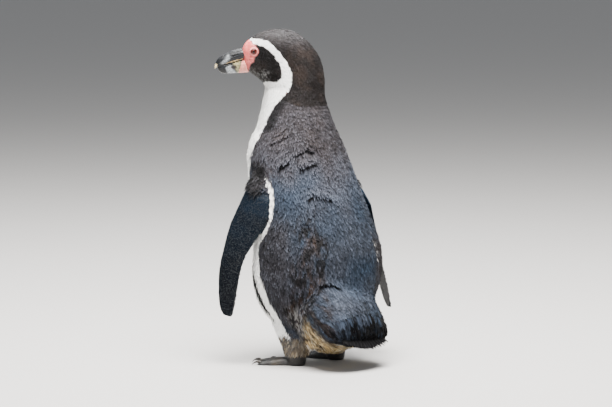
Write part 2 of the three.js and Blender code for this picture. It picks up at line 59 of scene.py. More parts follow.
# %% Place the camera
VIEW_AZIMUTH = math.radians(148)
VIEW_ELEVATION = math.radians(6)
VIEW_DISTANCE = 4.5
VIEW_AIM = Vector((0.0001, 0.0076, 0.0))  # the floor below the body's root
AIM_RIGHT = -28.7 * MM
AIM_UP = 234.6 * MM
LENS_PER_METRE = 40.0  # lens length in mm for each metre of distance

to_camera = Vector((
    math.sin(VIEW_AZIMUTH) * math.cos(VIEW_ELEVATION),
    -math.cos(VIEW_AZIMUTH) * math.cos(VIEW_ELEVATION),
    math.sin(VIEW_ELEVATION),
))
view_right = Vector((math.cos(VIEW_AZIMUTH), math.sin(VIEW_AZIMUTH), 0))
view_up = to_camera.cross(view_right)
aim = VIEW_AIM + view_right * AIM_RIGHT + view_up * AIM_UP
camera_data = bpy.data.cameras.new("camera")
camera_data.lens = LENS_PER_METRE * VIEW_DISTANCE
camera_data.clip_end = 200
camera = bpy.data.objects.new("camera", camera_data)
camera.location = aim + to_camera * VIEW_DISTANCE
camera.rotation_euler = to_camera.to_track_quat("Z", "Y").to_euler()
bpy.context.scene.collection.objects.link(camera)
bpy.context.scene.camera = camera
print("camera", VIEW_DISTANCE, "m off, lens", round(camera_data.lens), "mm")

# %% [markdown]
# ## Studio
# A plain pale floor that reaches far back, one broad key light almost overhead, a weak fill low on
# the camera's left, a rim light from beyond the bird and a pale sky. The floor could be a curved
# backdrop, but a wide disc gives the same soft horizon. Broad lights keep the white stripes from
# burning out.

# %% Lay the floor
FLOOR_RADIUS = 60.0  # metres
FLOOR_COLOUR = (0.42, 0.41, 0.40)


def plain_material(name, colour, roughness):
    material = bpy.data.materials.new(name)
    material.use_nodes = True
    shader = material.node_tree.nodes["Principled BSDF"]
    shader.inputs["Base Color"].default_value = (*colour, 1)
    shader.inputs["Roughness"].default_value = roughness
    return material


def make_floor():
    mesh = bpy.data.meshes.new("studio_floor")
    build = bmesh.new()
    bmesh.ops.create_circle(build, cap_ends=True, radius=FLOOR_RADIUS, segments=96)
    build.to_mesh(mesh)
    build.free()
    floor = bpy.data.objects.new("studio_floor", mesh)
    bpy.context.scene.collection.objects.link(floor)
    floor.data.materials.append(plain_material("pale_floor", FLOOR_COLOUR, 0.9))


make_floor()
print("floor", FLOOR_RADIUS, "m in radius")

# %% Hang the lights and fill the sky
LIGHT_AIM = Vector((0, 0, 0.25))
LIGHTS = {
    "key": dict(azimuth=150, elevation=76, distance=2.2, size=1.7, power=430, colour=(1.0, 0.98, 0.95)),
    "fill": dict(azimuth=120, elevation=20, distance=2.6, size=2.0, power=12, colour=(0.93, 0.96, 1.0)),
    "rim": dict(azimuth=-20, elevation=58, distance=2.4, size=1.2, power=60, colour=(1.0, 1.0, 1.0)),
}
SKY_COLOUR = (0.80, 0.83, 0.87, 1)
SKY_STRENGTH = 0.5


def make_light(name, azimuth, elevation, distance, size, power, colour):
    data = bpy.data.lights.new(name, "AREA")
    data.shape = "DISK"
    data.size = size
    data.energy = power
    data.color = colour
    light = bpy.data.objects.new(name, data)
    a = math.radians(azimuth)
    e = math.radians(elevation)
    away = Vector((math.sin(a) * math.cos(e), -math.cos(a) * math.cos(e), math.sin(e)))
    light.location = LIGHT_AIM + away * distance
    light.rotation_euler = away.to_track_quat("Z", "Y").to_euler()
    bpy.context.scene.collection.objects.link(light)


def make_sky():
    world = bpy.data.worlds.new("studio_sky")
    world.use_nodes = True
    background = world.node_tree.nodes["Background"]
    background.inputs["Color"].default_value = SKY_COLOUR
    background.inputs["Strength"].default_value = SKY_STRENGTH
    bpy.context.scene.world = world


for name, settings in LIGHTS.items():
    make_light(name, **settings)
make_sky()
print(len(LIGHTS), "lights and a sky")

# %% [markdown]
# ## Reading the body's own directions
# Everything on the bird is placed by coordinates that belong to it: how far ahead of the neck and
# to which side on the head, which way round the trunk, how far along a flipper or the tail. They
# are measured on the packed solids, so that the coat follows if the solids change.

# %% Small helpers
SIDES = ("left", "right")


def smoothstep(x, low, high):
    t = np.clip((x - low) / (high - low), 0, 1)
    return t * t * (3 - 2 * t)


def unit(v):
    return v / np.maximum(np.linalg.norm(v, axis=-1, keepdims=True), 1e-9)


def mesh_points(mesh):
    points = np.empty(len(mesh.vertices) * 3, np.float64)
    mesh.vertices.foreach_get("co", points)
    return points.reshape(-1, 3)


def node_points(name):
    return mesh_points(nodes[name].data)


print("trunk solid has", len(node_points("trunk")), "corners")

# %% Measure the head
EYE_AHEAD = 60 * MM  # the eyes stand this far ahead of the neck's axis

eye_centres = {side: node_points(f"eye_{side}").mean(0) for side in SIDES}
head_left = unit(eye_centres["left"] - eye_centres["right"])
head_ahead = np.array([head_left[1], -head_left[0], 0.0])
head_up = np.array([0.0, 0.0, 1.0])
neck_axis = (eye_centres["left"] + eye_centres["right"]) / 2 - head_ahead * EYE_AHEAD


def head_coordinates(points):
    """How far ahead of the neck's axis, how far to the left of it, and how high, in mm."""
    away = points - neck_axis
    return away @ head_ahead / MM, away @ head_left / MM, points[:, 2] / MM


def head_point(ahead, left, level):
    point = neck_axis + head_ahead * ahead * MM + head_left * left * MM
    return np.array([point[0], point[1], level * MM])


print("head looks along", head_ahead.round(3))

# %% Measure the way round the body
HEAD_TURN = 58.0  # degrees to the bird's left
TURN_LEVELS = (300 * MM, 389 * MM)  # the neck turns between these
BODY_RING = 36  # corners that the body's solids have at each level


def slice_centres(names):
    """The middle of the body at each level where the solids have a ring of corners."""
    points = np.concatenate([node_points(name) for name in names])
    levels = np.round(points[:, 2], 4)
    rows = []
    for level in np.unique(levels):
        ring = points[levels == level]
        if len(ring) >= BODY_RING:
            rows.append([level, *((ring.min(0) + ring.max(0)) / 2)[:2]])
    return np.array(rows)


body_middle = slice_centres(["trunk", "neck"])


def bearing(points):
    """Degrees round the body from its own front, positive on the bird's left."""
    x = points[:, 0] - np.interp(points[:, 2], body_middle[:, 0], body_middle[:, 1])
    y = points[:, 1] - np.interp(points[:, 2], body_middle[:, 0], body_middle[:, 2])
    turn = HEAD_TURN * smoothstep(points[:, 2], *TURN_LEVELS)
    angle = np.degrees(np.arctan2(x, -y)) - turn
    return (angle + 180) % 360 - 180


print(len(body_middle), "slices of the body")

# %% Measure the tail
TAIL_LENGTH = 87.5 * MM
TAIL_BEARING = math.radians(194)  # straight behind is 180, so it swings to the bird's right
TAIL_DROOP = math.radians(38)  # below level
TAIL_ROLL = math.radians(5)  # its right side is rolled down
TAIL_TIP = 4 * MM  # the stretch of the solid that counts as its end

tail_level = np.array([math.sin(TAIL_BEARING), -math.cos(TAIL_BEARING), 0.0])
tail_back = tail_level * math.cos(TAIL_DROOP) - np.array([0, 0, math.sin(TAIL_DROOP)])
flat_across = np.array([-tail_level[1], tail_level[0], 0.0])
tail_across = flat_across * math.cos(TAIL_ROLL) - np.cross(tail_back, flat_across) * math.sin(TAIL_ROLL)
tail_above = np.cross(tail_back, tail_across)
tail_reach = node_points("tail") @ tail_back
tail_end = node_points("tail")[tail_reach > tail_reach.max() - TAIL_TIP].mean(0)
tail_root = tail_end - tail_back * TAIL_LENGTH


def tail_coordinates(points):
    """Share of the tail's length behind its root, and mm across and above its middle."""
    away = points - tail_root
    return away @ tail_back / TAIL_LENGTH, away @ tail_across / MM, away @ tail_above / MM


print("tail ends at", tail_end.round(3))

# %% Measure the flippers
def blade_axes(name):
    """Middle, span, chord and outward directions of a flipper, from the spread of its solid."""
    points = node_points(name)
    middle = points.mean(0)
    spread = np.linalg.eigh(np.cov((points - middle).T))[1]
    span = spread[:, 2] * -np.sign(spread[2, 2])
    chord = spread[:, 1] * -np.sign(spread[1, 1])
    outward_side = 1 if name.endswith("left") else -1
    outward = unit(np.cross(span, chord))
    outward = outward * np.sign(outward[0]) * outward_side
    return middle, span, chord, outward


flipper_axes = {side: blade_axes(f"flipper_{side}") for side in SIDES}
print("flippers hang along", {side: axes[1].round(2).tolist() for side, axes in flipper_axes.items()})

# %% [markdown]
# ## One skin
# The flesh of the real bird is one surface. The solids of head, neck, trunk, tail, flippers, legs
# and feet are swollen by half a millimetre so that their thin gaps close, fused by a voxel
# remesh, smoothed, and then drawn in by the depth of the coat that will stand on them.

# %% Fuse the solids
FLESH = ["trunk", "neck", "head", "tail", "flipper_left", "flipper_right", "leg_left", "leg_right",
         "foot_left", "foot_right"]
SWELL = 0.5 * MM
WELD = 0.02 * MM  # corners nearer than this are one
VOXEL = 1.6 * MM


def fused_flesh():
    build = bmesh.new()
    for name in FLESH + ["eye_left", "eye_right"]:
        part = bmesh.new()
        part.from_mesh(nodes[name].data)
        bmesh.ops.remove_doubles(part, verts=part.verts, dist=WELD)
        part.normal_update()
        for vertex in part.verts:
            vertex.co += vertex.normal * SWELL
        swollen = bpy.data.meshes.new("swollen")
        part.to_mesh(swollen)
        part.free()
        build.from_mesh(swollen)
        bpy.data.meshes.remove(swollen)
    mesh = bpy.data.meshes.new("flesh")
    build.to_mesh(mesh)
    build.free()
    flesh = bpy.data.objects.new("flesh", mesh)
    bpy.context.scene.collection.objects.link(flesh)
    remesh = flesh.modifiers.new("fuse", "REMESH")
    remesh.mode = "VOXEL"
    remesh.voxel_size = VOXEL
    bpy.context.view_layer.update()
    fused = bpy.data.meshes.new_from_object(flesh.evaluated_get(bpy.context.evaluated_depsgraph_get()))
    bpy.data.objects.remove(flesh)
    bpy.data.meshes.remove(mesh)
    return fused


skin_mesh = fused_flesh()
skin_mesh.name = "skin"
print("fused skin:", len(skin_mesh.vertices), "points")

# %% Even out values over a mesh
def mesh_edges(mesh):
    edges = np.empty(len(mesh.edges) * 2, np.int64)
    mesh.edges.foreach_get("vertices", edges)
    return edges.reshape(-1, 2)


def spread_evenly(values, edges, steps, strength=0.5):
    """Each point's value drifts towards the mean of its neighbours'."""
    count = len(values)
    both = np.concatenate([edges, edges[:, ::-1]])
    degree = np.maximum(np.bincount(both[:, 0], minlength=count), 1)[:, None]
    values = values.reshape(count, -1).copy()
    strength = np.broadcast_to(strength, (count,))[:, None]
    for _ in range(steps):
        total = np.stack([
            np.bincount(both[:, 0], weights=values[both[:, 1], k], minlength=count)
            for k in range(values.shape[1])
        ], axis=1)
        values += strength * (total / degree - values)
    return values


skin_points = mesh_points(skin_mesh)
skin_edges = mesh_edges(skin_mesh)
print(len(skin_edges), "edges")

# %% [markdown]
# ## Which part is where
# Feathers differ by region: stiff on the flippers, long on the tail, short on the face. Regions
# could be painted by hand. Here each point of the skin takes the name of the solid it lies
# nearest to, and the names are blurred into weights, so that one kind of feather runs into the
# next.

# %% Name the region of every point of the skin
def flesh_tree():
    corners = []
    faces = []
    owner = []
    for index, name in enumerate(FLESH):
        mesh = nodes[name].data
        start = len(corners)
        corners += [v.co.copy() for v in mesh.vertices]
        for polygon in mesh.polygons:
            faces.append([start + i for i in polygon.vertices])
            owner.append(index)
    return BVHTree.FromPolygons(corners, faces), np.array(owner)


tree, owner = flesh_tree()
nearest = np.array([tree.find_nearest(Vector(p))[2] for p in skin_points])
label = owner[nearest]
region = spread_evenly(np.eye(len(FLESH))[label], skin_edges, 10)
part_weight = {name: region[:, i] for i, name in enumerate(FLESH)}
foot_weight = part_weight["foot_left"] + part_weight["foot_right"]
flipper_weight = part_weight["flipper_left"] + part_weight["flipper_right"]
print({name: int((label == i).sum()) for i, name in enumerate(FLESH)})

# %% [markdown]
# ## Thickness of the coat
# The coat stands a millimetre off the head and three off the rump, and stops at the bare pink
# skin round the bill and the eye. The skin is smoothed first, most where two solids meet, and then
# each point moves inwards by the depth of the coat that will cover it.

# %% Smooth the joints between the parts
CALM = {"head": 0.55, "neck": 0.6, "trunk": 0.6, "tail": 0.6, "leg_left": 0.5, "leg_right": 0.5,
        "flipper_left": 0.35, "flipper_right": 0.35, "foot_left": 0.3, "foot_right": 0.3}
CALM_ROUNDS = 30
JOINT_ROUNDS = 24
RUMP_ROUNDS = 90


def point_normals(points, mesh):
    """Moves the mesh to these points and reads its normals there."""
    mesh.vertices.foreach_set("co", points.ravel())
    mesh.update()
    normals = np.empty(len(mesh.vertices) * 3, np.float32)
    mesh.vertex_normals.foreach_get("vector", normals)
    return normals.reshape(-1, 3).astype(float)


def calm_surface(points, edges, strength, rounds):
    """Takes out steps and dents but keeps the volume: each inward step is given back."""
    for _ in range(rounds):
        points = spread_evenly(points, edges, 1, strength)
        points = spread_evenly(points, edges, 1, -1.04 * strength)
    return points


calm = sum(CALM[name] * part_weight[name] for name in FLESH)
skin_points = calm_surface(skin_points, skin_edges, calm, CALM_ROUNDS)
largest = np.max(list(part_weight.values()), axis=0)
joint = spread_evenly(1 - largest, skin_edges, 12)[:, 0]
joint = np.clip(joint * 2.2, 0, 0.5) * (1 - foot_weight) * (1 - 0.7 * flipper_weight)
skin_points = spread_evenly(skin_points, skin_edges, JOINT_ROUNDS, joint)
rump = spread_evenly(part_weight["tail"], skin_edges, 40)[:, 0]
rump = 2 * rump * (1 - rump) * (part_weight["tail"] + part_weight["trunk"] > 0.6)
skin_points = spread_evenly(skin_points, skin_edges, RUMP_ROUNDS, rump)
skin_normals = point_normals(skin_points, skin_mesh)
print("smoothed over joints:", int((joint > 0.1).sum()), "points")

# %% Draw it in by the coat's depth
COAT_DEPTH = {"head": 1.3, "neck": 2.2, "trunk": 2.8, "tail": 3.2, "leg_left": 1.8, "leg_right": 1.8,
              "flipper_left": 0.6, "flipper_right": 0.6, "foot_left": 0.1, "foot_right": 0.1}
BARE_EDGE = [(423, 70), (430, 68), (434, 66.8), (439.3, 65), (442.5, 60.5), (446, 59.8), (448.6, 59.3),
             (451.4, 56.2), (456.3, 54.4), (461.1, 54.9), (464.2, 57), (468.1, 61.2), (471.5, 63.8),
             (474, 66.5), (476, 69), (478, 76)]  # level, and how far ahead the bare skin starts there
FLOOR_CLEARANCE = 0.2 * MM  # no feathered skin sinks below this


def bare_amount(points, edge=1.2):
    """1 on the bare pink skin round the bill's base and the eye, 0 on feathers."""
    ahead, _, level = head_coordinates(points)
    start = np.interp(level, *np.array(BARE_EDGE).T)
    return smoothstep(ahead - start, -edge, edge) * (level > BARE_EDGE[0][0])


depth = sum(COAT_DEPTH[name] * part_weight[name] for name in FLESH) * MM
depth *= 1 - bare_amount(skin_points, 4)
down_tail = tail_coordinates(skin_points)[0]
depth *= 1 - 0.7 * smoothstep(down_tail, 0.45, 0.85)
skin_points -= skin_normals * (depth + SWELL)[:, None]
quill_room = np.maximum(down_tail - 0.55, 0) * 0.55 * part_weight["tail"] * TAIL_LENGTH
skin_points -= tail_back * quill_room[:, None]
skin_points[:, 2] = np.maximum(skin_points[:, 2], FLOOR_CLEARANCE * (foot_weight < 0.5))
skin_normals = point_normals(skin_points, skin_mesh)
print("skin drawn in by up to", round(float(depth.max()) / MM, 1), "mm")

# %% [markdown]
# ## Sockets for the eyes
# The eyeball of the real bird sits in a socket with only its middle showing between thin lids.
# The fused skin bulges over each eyeball. The lids are made later as finer pieces from the bulge's
# own height, so that height is kept here, and then the skin under the lids is let in a little.

# %% Keep the skin's height round each eye
EYE_RADIUS = max(np.linalg.norm(node_points("eye_left") - eye_centres["left"], axis=1)) / MM
LID_REACH = 7.6  # mm from the eye's axis to the outer edge of its ring of skin
LID_RINGS = np.array([2.6, 3.1, 3.4, 3.55, 3.75, 3.95, 4.15, 4.35, 4.6, 4.85, 5.15, 5.45, 5.75, 6.05,
                      6.35, 6.75, 7.2, LID_REACH])
LID_SEGMENTS = 120

skin_quads = np.empty(len(skin_mesh.polygons) * 4, np.int64)
skin_mesh.polygons.foreach_get("vertices", skin_quads)
skin_quads = skin_quads.reshape(-1, 4)
whole_tree = BVHTree.FromPolygons([Vector(p) for p in skin_points], skin_quads.tolist())


def eye_frame(side):
    """The eye's middle and the way it looks out."""
    return eye_centres[side], head_left * (1 if side == "left" else -1)


def skin_height(side, ahead, up):
    """How far out the smooth skin lies from the eye's middle, at places beside its axis, in mm."""
    centre, out = eye_frame(side)
    heights = []
    for a, z in zip(ahead.ravel(), up.ravel()):
        start = centre + (head_ahead * a + head_up * z + out * 30) * MM
        hit = whole_tree.ray_cast(Vector(start), Vector(-out))[0]
        heights.append((np.array(hit) - centre) @ out / MM)
    return np.array(heights).reshape(ahead.shape)


lid_turn = np.linspace(0, 2 * math.pi, LID_SEGMENTS, endpoint=False)
almond = smoothstep(LID_RINGS, 6.8, 3.5)[:, None]
lid_ahead = LID_RINGS[:, None] * np.cos(lid_turn) * (1 + 0.2 * almond)
lid_up = LID_RINGS[:, None] * np.sin(lid_turn) * (1 + 0.02 * almond)
lid_base = {side: skin_height(side, lid_ahead, lid_up) for side in SIDES}
print("eyeball radius", round(float(EYE_RADIUS), 2), "mm, skin over it at",
      lid_base["left"][0].mean().round(2), "mm")

# %% Let the skin in under the lids
SOCKET_DEPTH = 1.6 * MM
SOCKET_EDGE = (4.9, 6.9)  # mm from the eye's axis

for side in SIDES:
    centre, out = eye_frame(side)
    away = skin_points - centre
    reach = np.linalg.norm(away - np.outer(away @ out, out), axis=1) / MM
    near = (1 - smoothstep(reach, *SOCKET_EDGE)) * (away @ out > 0)
    skin_points -= out * (near * SOCKET_DEPTH)[:, None]
skin_normals = point_normals(skin_points, skin_mesh)
print("sockets", SOCKET_DEPTH / MM, "mm deep")

# %% [markdown]
# ## Markings
# The pattern of a Humboldt penguin is a set of borders: a white stripe that loops back from the
# forehead round a dark face, a dark breast band that runs down each flank, a hood a shade browner
# than the back. Each border is a short run of named bends in the body's own coordinates. Skin and
# feathers ask the same functions, and both flanks use the same borders.

# %% Noise that frays an edge
def noise(points, size, seed=0):
    """Smooth noise from -1 to 1 with lumps about `size` mm across."""
    place = points / (size * MM) + 17.3 * seed
    cell = np.floor(place).astype(np.int64)
    part = place - cell
    part = part * part * (3 - 2 * part)
    total = np.zeros(len(points))
    for corner in np.ndindex(2, 2, 2):
        at = cell + np.array(corner)
        key = (at[:, 0] * 73856093) ^ (at[:, 1] * 19349663) ^ (at[:, 2] * 83492791) ^ (seed * 2654435)
        key = (key ^ (key >> 13)) * 1274126177
        value = ((key ^ (key >> 16)) & 0xFFFF) / 32767.5 - 1
        share = np.prod(np.where(corner, part, 1 - part), axis=1)
        total += share * value
    return total


def inside(value, edge, soft):
    """1 where value is above the edge, 0 below it, with a soft step between."""
    return smoothstep(value, edge - soft, edge + soft)


print("noise spreads by", noise(skin_points[:2000], 5).std().round(2))

# %% Dark face and white stripe
FACE_CENTRE = (45.0, 440.0)  # ahead, level: the middle of the dark face
FACE_EDGE = [(64, 474), (60.6, 468.8), (53.3, 467.1), (47.2, 464.9), (39.8, 461.4), (33.8, 455.9),
             (28.9, 450.6), (25.3, 444.6), (21.6, 438.6), (19.2, 431.4), (18.7, 424.1), (20.4, 418),
             (24.1, 414.2), (29, 412.9), (33.8, 413.7), (41.2, 413.5), (50, 410), (75, 395)]
STRIPE_EDGE = [(70, 478), (65.3, 477.5), (60.7, 475.6), (50.9, 474.8), (41.1, 473.3), (33.8, 468.6),
               (27.7, 462.7), (22.8, 456.7), (16.8, 449.5), (11.9, 442.3), (8.3, 435.1), (5.1, 427.9),
               (4.1, 419.4), (4.6, 412.2), (7.1, 404.9), (9.5, 400), (10, 330)]  # ahead, level
FACE_OPENS = 58  # degrees up from straight ahead: below this the face runs on to the bill
STRIPE_OPENS = 50  # below this there is no stripe
UNDER_CHIN = -56.3  # degrees: angles below this are counted on past 180


def turn_of_face(ahead, level):
    """Angle and radius round the face's middle."""
    angle = np.degrees(np.arctan2(level, ahead))
    return np.where(angle < UNDER_CHIN, angle + 360, angle), np.hypot(ahead, level)


def round_face(border):
    return turn_of_face(*(np.array(border) - FACE_CENTRE).T)


def face_and_stripe(points):
    """Masks of the dark face and the white stripe on the head."""
    ahead, _, level = head_coordinates(points)
    angle, radius = turn_of_face(ahead - FACE_CENTRE[0], level - FACE_CENTRE[1])
    radius = radius + 0.9 * noise(points, 3.4, 2) + 0.6 * noise(points, 1.6, 4)
    face_edge = np.where(angle < FACE_OPENS, 200, np.interp(angle, *round_face(FACE_EDGE)))
    stripe_edge = np.where(angle < STRIPE_OPENS, 0, np.interp(angle, *round_face(STRIPE_EDGE)))
    face = 1 - inside(radius, face_edge, 0.5)
    stripe = (1 - face) * (1 - inside(radius, stripe_edge, 0.5))
    return face, stripe


print(len(FACE_EDGE) + len(STRIPE_EDGE), "bends round the face")

# %% Coordinates for the body's marks
STREAK = np.array([1, 1, 0.35])  # noise read at squashed heights is drawn out into streaks


class Place:
    """Where some points are, in the coordinates that the marks are drawn in."""

    def __init__(self, points):
        self.points = points
        self.level = points[:, 2] / MM
        self.turn = bearing(points)
        self.side = np.abs(self.turn)
        self.spine = (180 - self.side) * np.where(self.turn > 0, 1.0, -1.0)
        self.ahead = head_coordinates(points)[0]
        self.down_tail, self.across_tail, self.above_tail = tail_coordinates(points)
        self.streaks = points * STREAK
        self.tail_streaks = points + np.outer(points @ tail_back, tail_back) * -0.7
        self.rough = noise(points, 4, 1)


def border_at(level, border):
    """Where a border given as level and bearing runs at these levels."""
    return np.interp(level, *np.array(border).T)


spine_side = Place(skin_points).spine
print("bearings from the spine:", spine_side.min().round(), "to", spine_side.max().round())

# %% White of the throat and belly
THROAT_EDGE = [(240, 62), (257, 64), (269, 68), (284, 73), (299, 79.5), (310, 79.4), (320, 78), (329, 75),
               (336.6, 69.7), (344, 65), (353, 59), (362, 53.8), (371, 51.9), (379, 54), (386, 59),
               (391.7, 65), (396, 70), (400, 75.6), (405, 78.5)]  # level, degrees from the front
BACK_EDGE = [(40, 94), (53, 96.5), (66, 99), (81, 100.5), (95, 97.5), (110, 94.8), (124, 90.3), (138, 87),
             (153, 85), (163, 83.2), (174, 85.5), (186, 93), (197.5, 101), (209, 107), (218, 110.2),
             (229, 112.6), (240, 115.2), (251, 116.8), (261.6, 116.2), (270, 113.3), (274, 110.5),
             (282, 106)]
SLIVER_EDGE = [(200, 90), (218, 104), (229, 108), (238, 111), (249, 111.8), (259, 111), (270, 108.4),
               (276, 108), (284, 109)]  # front edge of the thin white strip behind the left flipper
HEAD_LEVEL = 403  # above this the only white is the stripe
SHOULDER_LEVEL = 255  # above this the throat's edge bounds the white, below it the back's


def body_white(at):
    loose = inside(at.level, 285, 8) * (1 - inside(at.level, 345, 8))
    fringe = (at.rough + 0.9 * noise(at.points, 2, 41)) * (1.1 + 2.8 * loose)
    throat = 1 - inside(at.side + fringe, border_at(at.level, THROAT_EDGE), 0.8)
    tucked = 14 * (at.turn < 0) * inside(at.level, 112, 14)  # the right flipper's root hides more
    side = at.side + tucked + at.rough
    belly = 1 - inside(side, border_at(at.level, BACK_EDGE), 0.8)
    sliver = belly * inside(side, border_at(at.level, SLIVER_EDGE), 0.8) * (at.level < 280) * (at.turn > 0)
    return np.maximum(np.where(at.level > SHOULDER_LEVEL, throat, belly), sliver)


print(len(THROAT_EDGE) + len(BACK_EDGE) + len(SLIVER_EDGE), "bends round the white")

# %% Breast band, spots and collar
BAND_PATH = [(0, 318), (13, 316.5), (25, 311), (34, 300), (40.5, 284), (46, 260), (51, 222), (52, 180),
             (54, 150), (62.5, 128), (70, 117), (76, 104), (80.5, 90), (84, 75), (87, 61),
             (90, 50)]  # degrees from the front, level
BAND_HALF = 8.5  # mm
BAND_SHARE = ([56, 70, 84, 120, 290, 320], [-0.3, 0.3, 0.8, 1, 1, 1.3])  # level, share of that width
BAND_TOP = 335
BODY_RADIUS = 82.0  # mm


def from_path(place, path):
    """Distance from a run of short straight lines."""
    gap = np.full(len(place), 1e9)
    for start, end in zip(path[:-1], path[1:]):
        step = end - start
        t = np.clip(((place - start) @ step) / (step @ step), 0, 1)
        gap = np.minimum(gap, np.linalg.norm(place - start - t[:, None] * step, axis=1))
    return gap


def flank_band(at):
    """The dark band across the upper breast and down each flank."""
    across = np.radians(at.side) * BODY_RADIUS
    path = np.array([(math.radians(a) * BODY_RADIUS, z) for a, z in BAND_PATH])
    gap = from_path(np.stack([across, at.level], 1), path)
    half = BAND_HALF * np.interp(at.level, *BAND_SHARE)
    band = 1 - inside(gap + 1.5 * noise(at.points, 6, 3), half, 0.8)
    return band * (at.level < BAND_TOP)


def breast_spots(at):
    """The few dark freckles that every bird wears in a pattern of its own."""
    spots = inside(noise(at.points, 9, 5), 0.62, 0.06) * inside(noise(at.points, 5, 6), 0.1, 0.1)
    return spots * (at.side < 62) * (at.level < 300) * (at.level > 70)


def dark_collar(at):
    """Blacker feathers beside the throat, below the hood."""
    collar = 1 - inside(at.side, border_at(at.level, THROAT_EDGE) + 19, 7)
    return collar * inside(at.level, 338, 8) * (1 - inside(at.level, 392, 4))


print("band", 2 * BAND_HALF, "mm wide, with", len(BAND_PATH), "bends")

# %% Worn feathers on the back
WEAR_PATH = [(55, 118), (70, 126), (95, 133), (120, 145), (150, 143), (180, 146),
             (225, 148)]  # level, degrees from the front
PATCH_LEVELS = (107, 190)  # a brown patch low on the right flank
PATCH_BEARINGS = (-139, -112)


def worn_streak(at):
    """Brown feathers down the left of the back, with sooty and creamy tips among them."""
    off_path = at.turn - border_at(at.level, WEAR_PATH) + 7 * noise(at.points, 40, 9)
    worn = np.exp(-(off_path / np.where(off_path > 0, 10, 15)) ** 2)
    worn *= inside(at.level, 52, 12) * (1 - inside(at.level, 205, 40))
    soot = inside(worn, 0.25, 0.2) * inside(noise(at.streaks, 3.2, 23), 0.12, 0.15)
    cream = np.exp(-(off_path / 10) ** 2) * inside(at.level, 44, 4) * (1 - inside(at.level, 88, 12))
    cream *= inside(noise(at.streaks, 2.6, 25), 0.1, 0.2)
    worn = np.clip(worn * (0.55 + 0.9 * noise(at.streaks, 5, 10)), 0, 1)
    return worn, soot, cream


def flank_patch(at):
    """The brown patch, and the pale flecks on its edge nearer the spine."""
    low, high = PATCH_LEVELS
    back, front = PATCH_BEARINGS
    drift = noise(at.streaks, 9, 42)
    patch = inside(at.level + 12 * drift, low, 16) * (1 - inside(at.level + 12 * drift, high, 20))
    patch *= inside(at.turn + 5 * drift, back, 4) * (1 - inside(at.turn + 5 * drift, front, 13))
    patch *= 0.75 + 0.5 * noise(at.streaks, 4, 43)
    flecks = inside(at.level, 152, 6) * (1 - inside(at.level, high, 8))
    flecks *= np.exp(-((at.turn - back + 1) / 2.2) ** 2) * inside(noise(at.points, 3, 19), 0.35, 0.1)
    return patch, flecks


worn, _, _ = worn_streak(Place(skin_points))
print("worn points of the skin:", int((worn > 0.3).sum()))

# %% Marks of the tail and vent
TAIL_BLACK = 0.53  # share of the tail's length at which the black tips start


def vent_stain(at):
    """The soiled fluff low on the back, and the part of it that is under the tail."""
    on_tail = inside(at.down_tail, 0.05, 0.1)
    vent = (1 - inside(at.level, 47 + 8 * at.rough, 7)) * inside(at.spine, -34, 7)
    vent *= 1 - inside(at.spine, 48, 8)
    vent *= 1 - inside(at.above_tail, -20, 8) * on_tail
    under = on_tail * (1 - inside(at.above_tail, -12, 6))
    under *= 1 - inside(at.down_tail + 0.1 * at.rough, 0.66, 0.1)
    return np.maximum(vent, 0.9 * under), under


def tail_tips(at, under):
    """The blackish end of the tail, and a worn smudge on its left edge."""
    mottle = 0.24 * noise(at.tail_streaks, 6, 17) + 0.2 * noise(at.tail_streaks, 2.4, 45)
    mottle = mottle + 0.1 * noise(at.points, 3, 18)
    tips = inside(at.down_tail + mottle + 0.0025 * at.across_tail, TAIL_BLACK, 0.2)
    smudge = inside(-at.across_tail, 18, 9) * inside(at.down_tail, 0.02, 0.1)
    smudge *= inside(noise(at.tail_streaks, 5, 26), 0.0, 0.25) * (1 - inside(at.side, 158, 4))
    return np.maximum(tips, 0.6 * smudge) * (1 - under), smudge


stained, _ = vent_stain(Place(skin_points))
print("stained points of the skin:", int((stained > 0.4).sum()))

# %% All masks of the plumage
HOOD_EDGE = 377.5  # level of the hood's lower edge at the back of the neck


def slate_tint(at, painted_shade_side):
    """Blue-grey of the back, which fades into the browner shoulders and is painted duller with shade on the
    bird's lower left side.
    """
    blue = inside(at.level + 8 * noise(at.points, 30, 7), 282, 50) * -0.9 + 0.9
    blue = blue * (0.72 + 0.27 * noise(at.points, 26, 8))
    return blue * (1 - 0.75 * painted_shade_side)


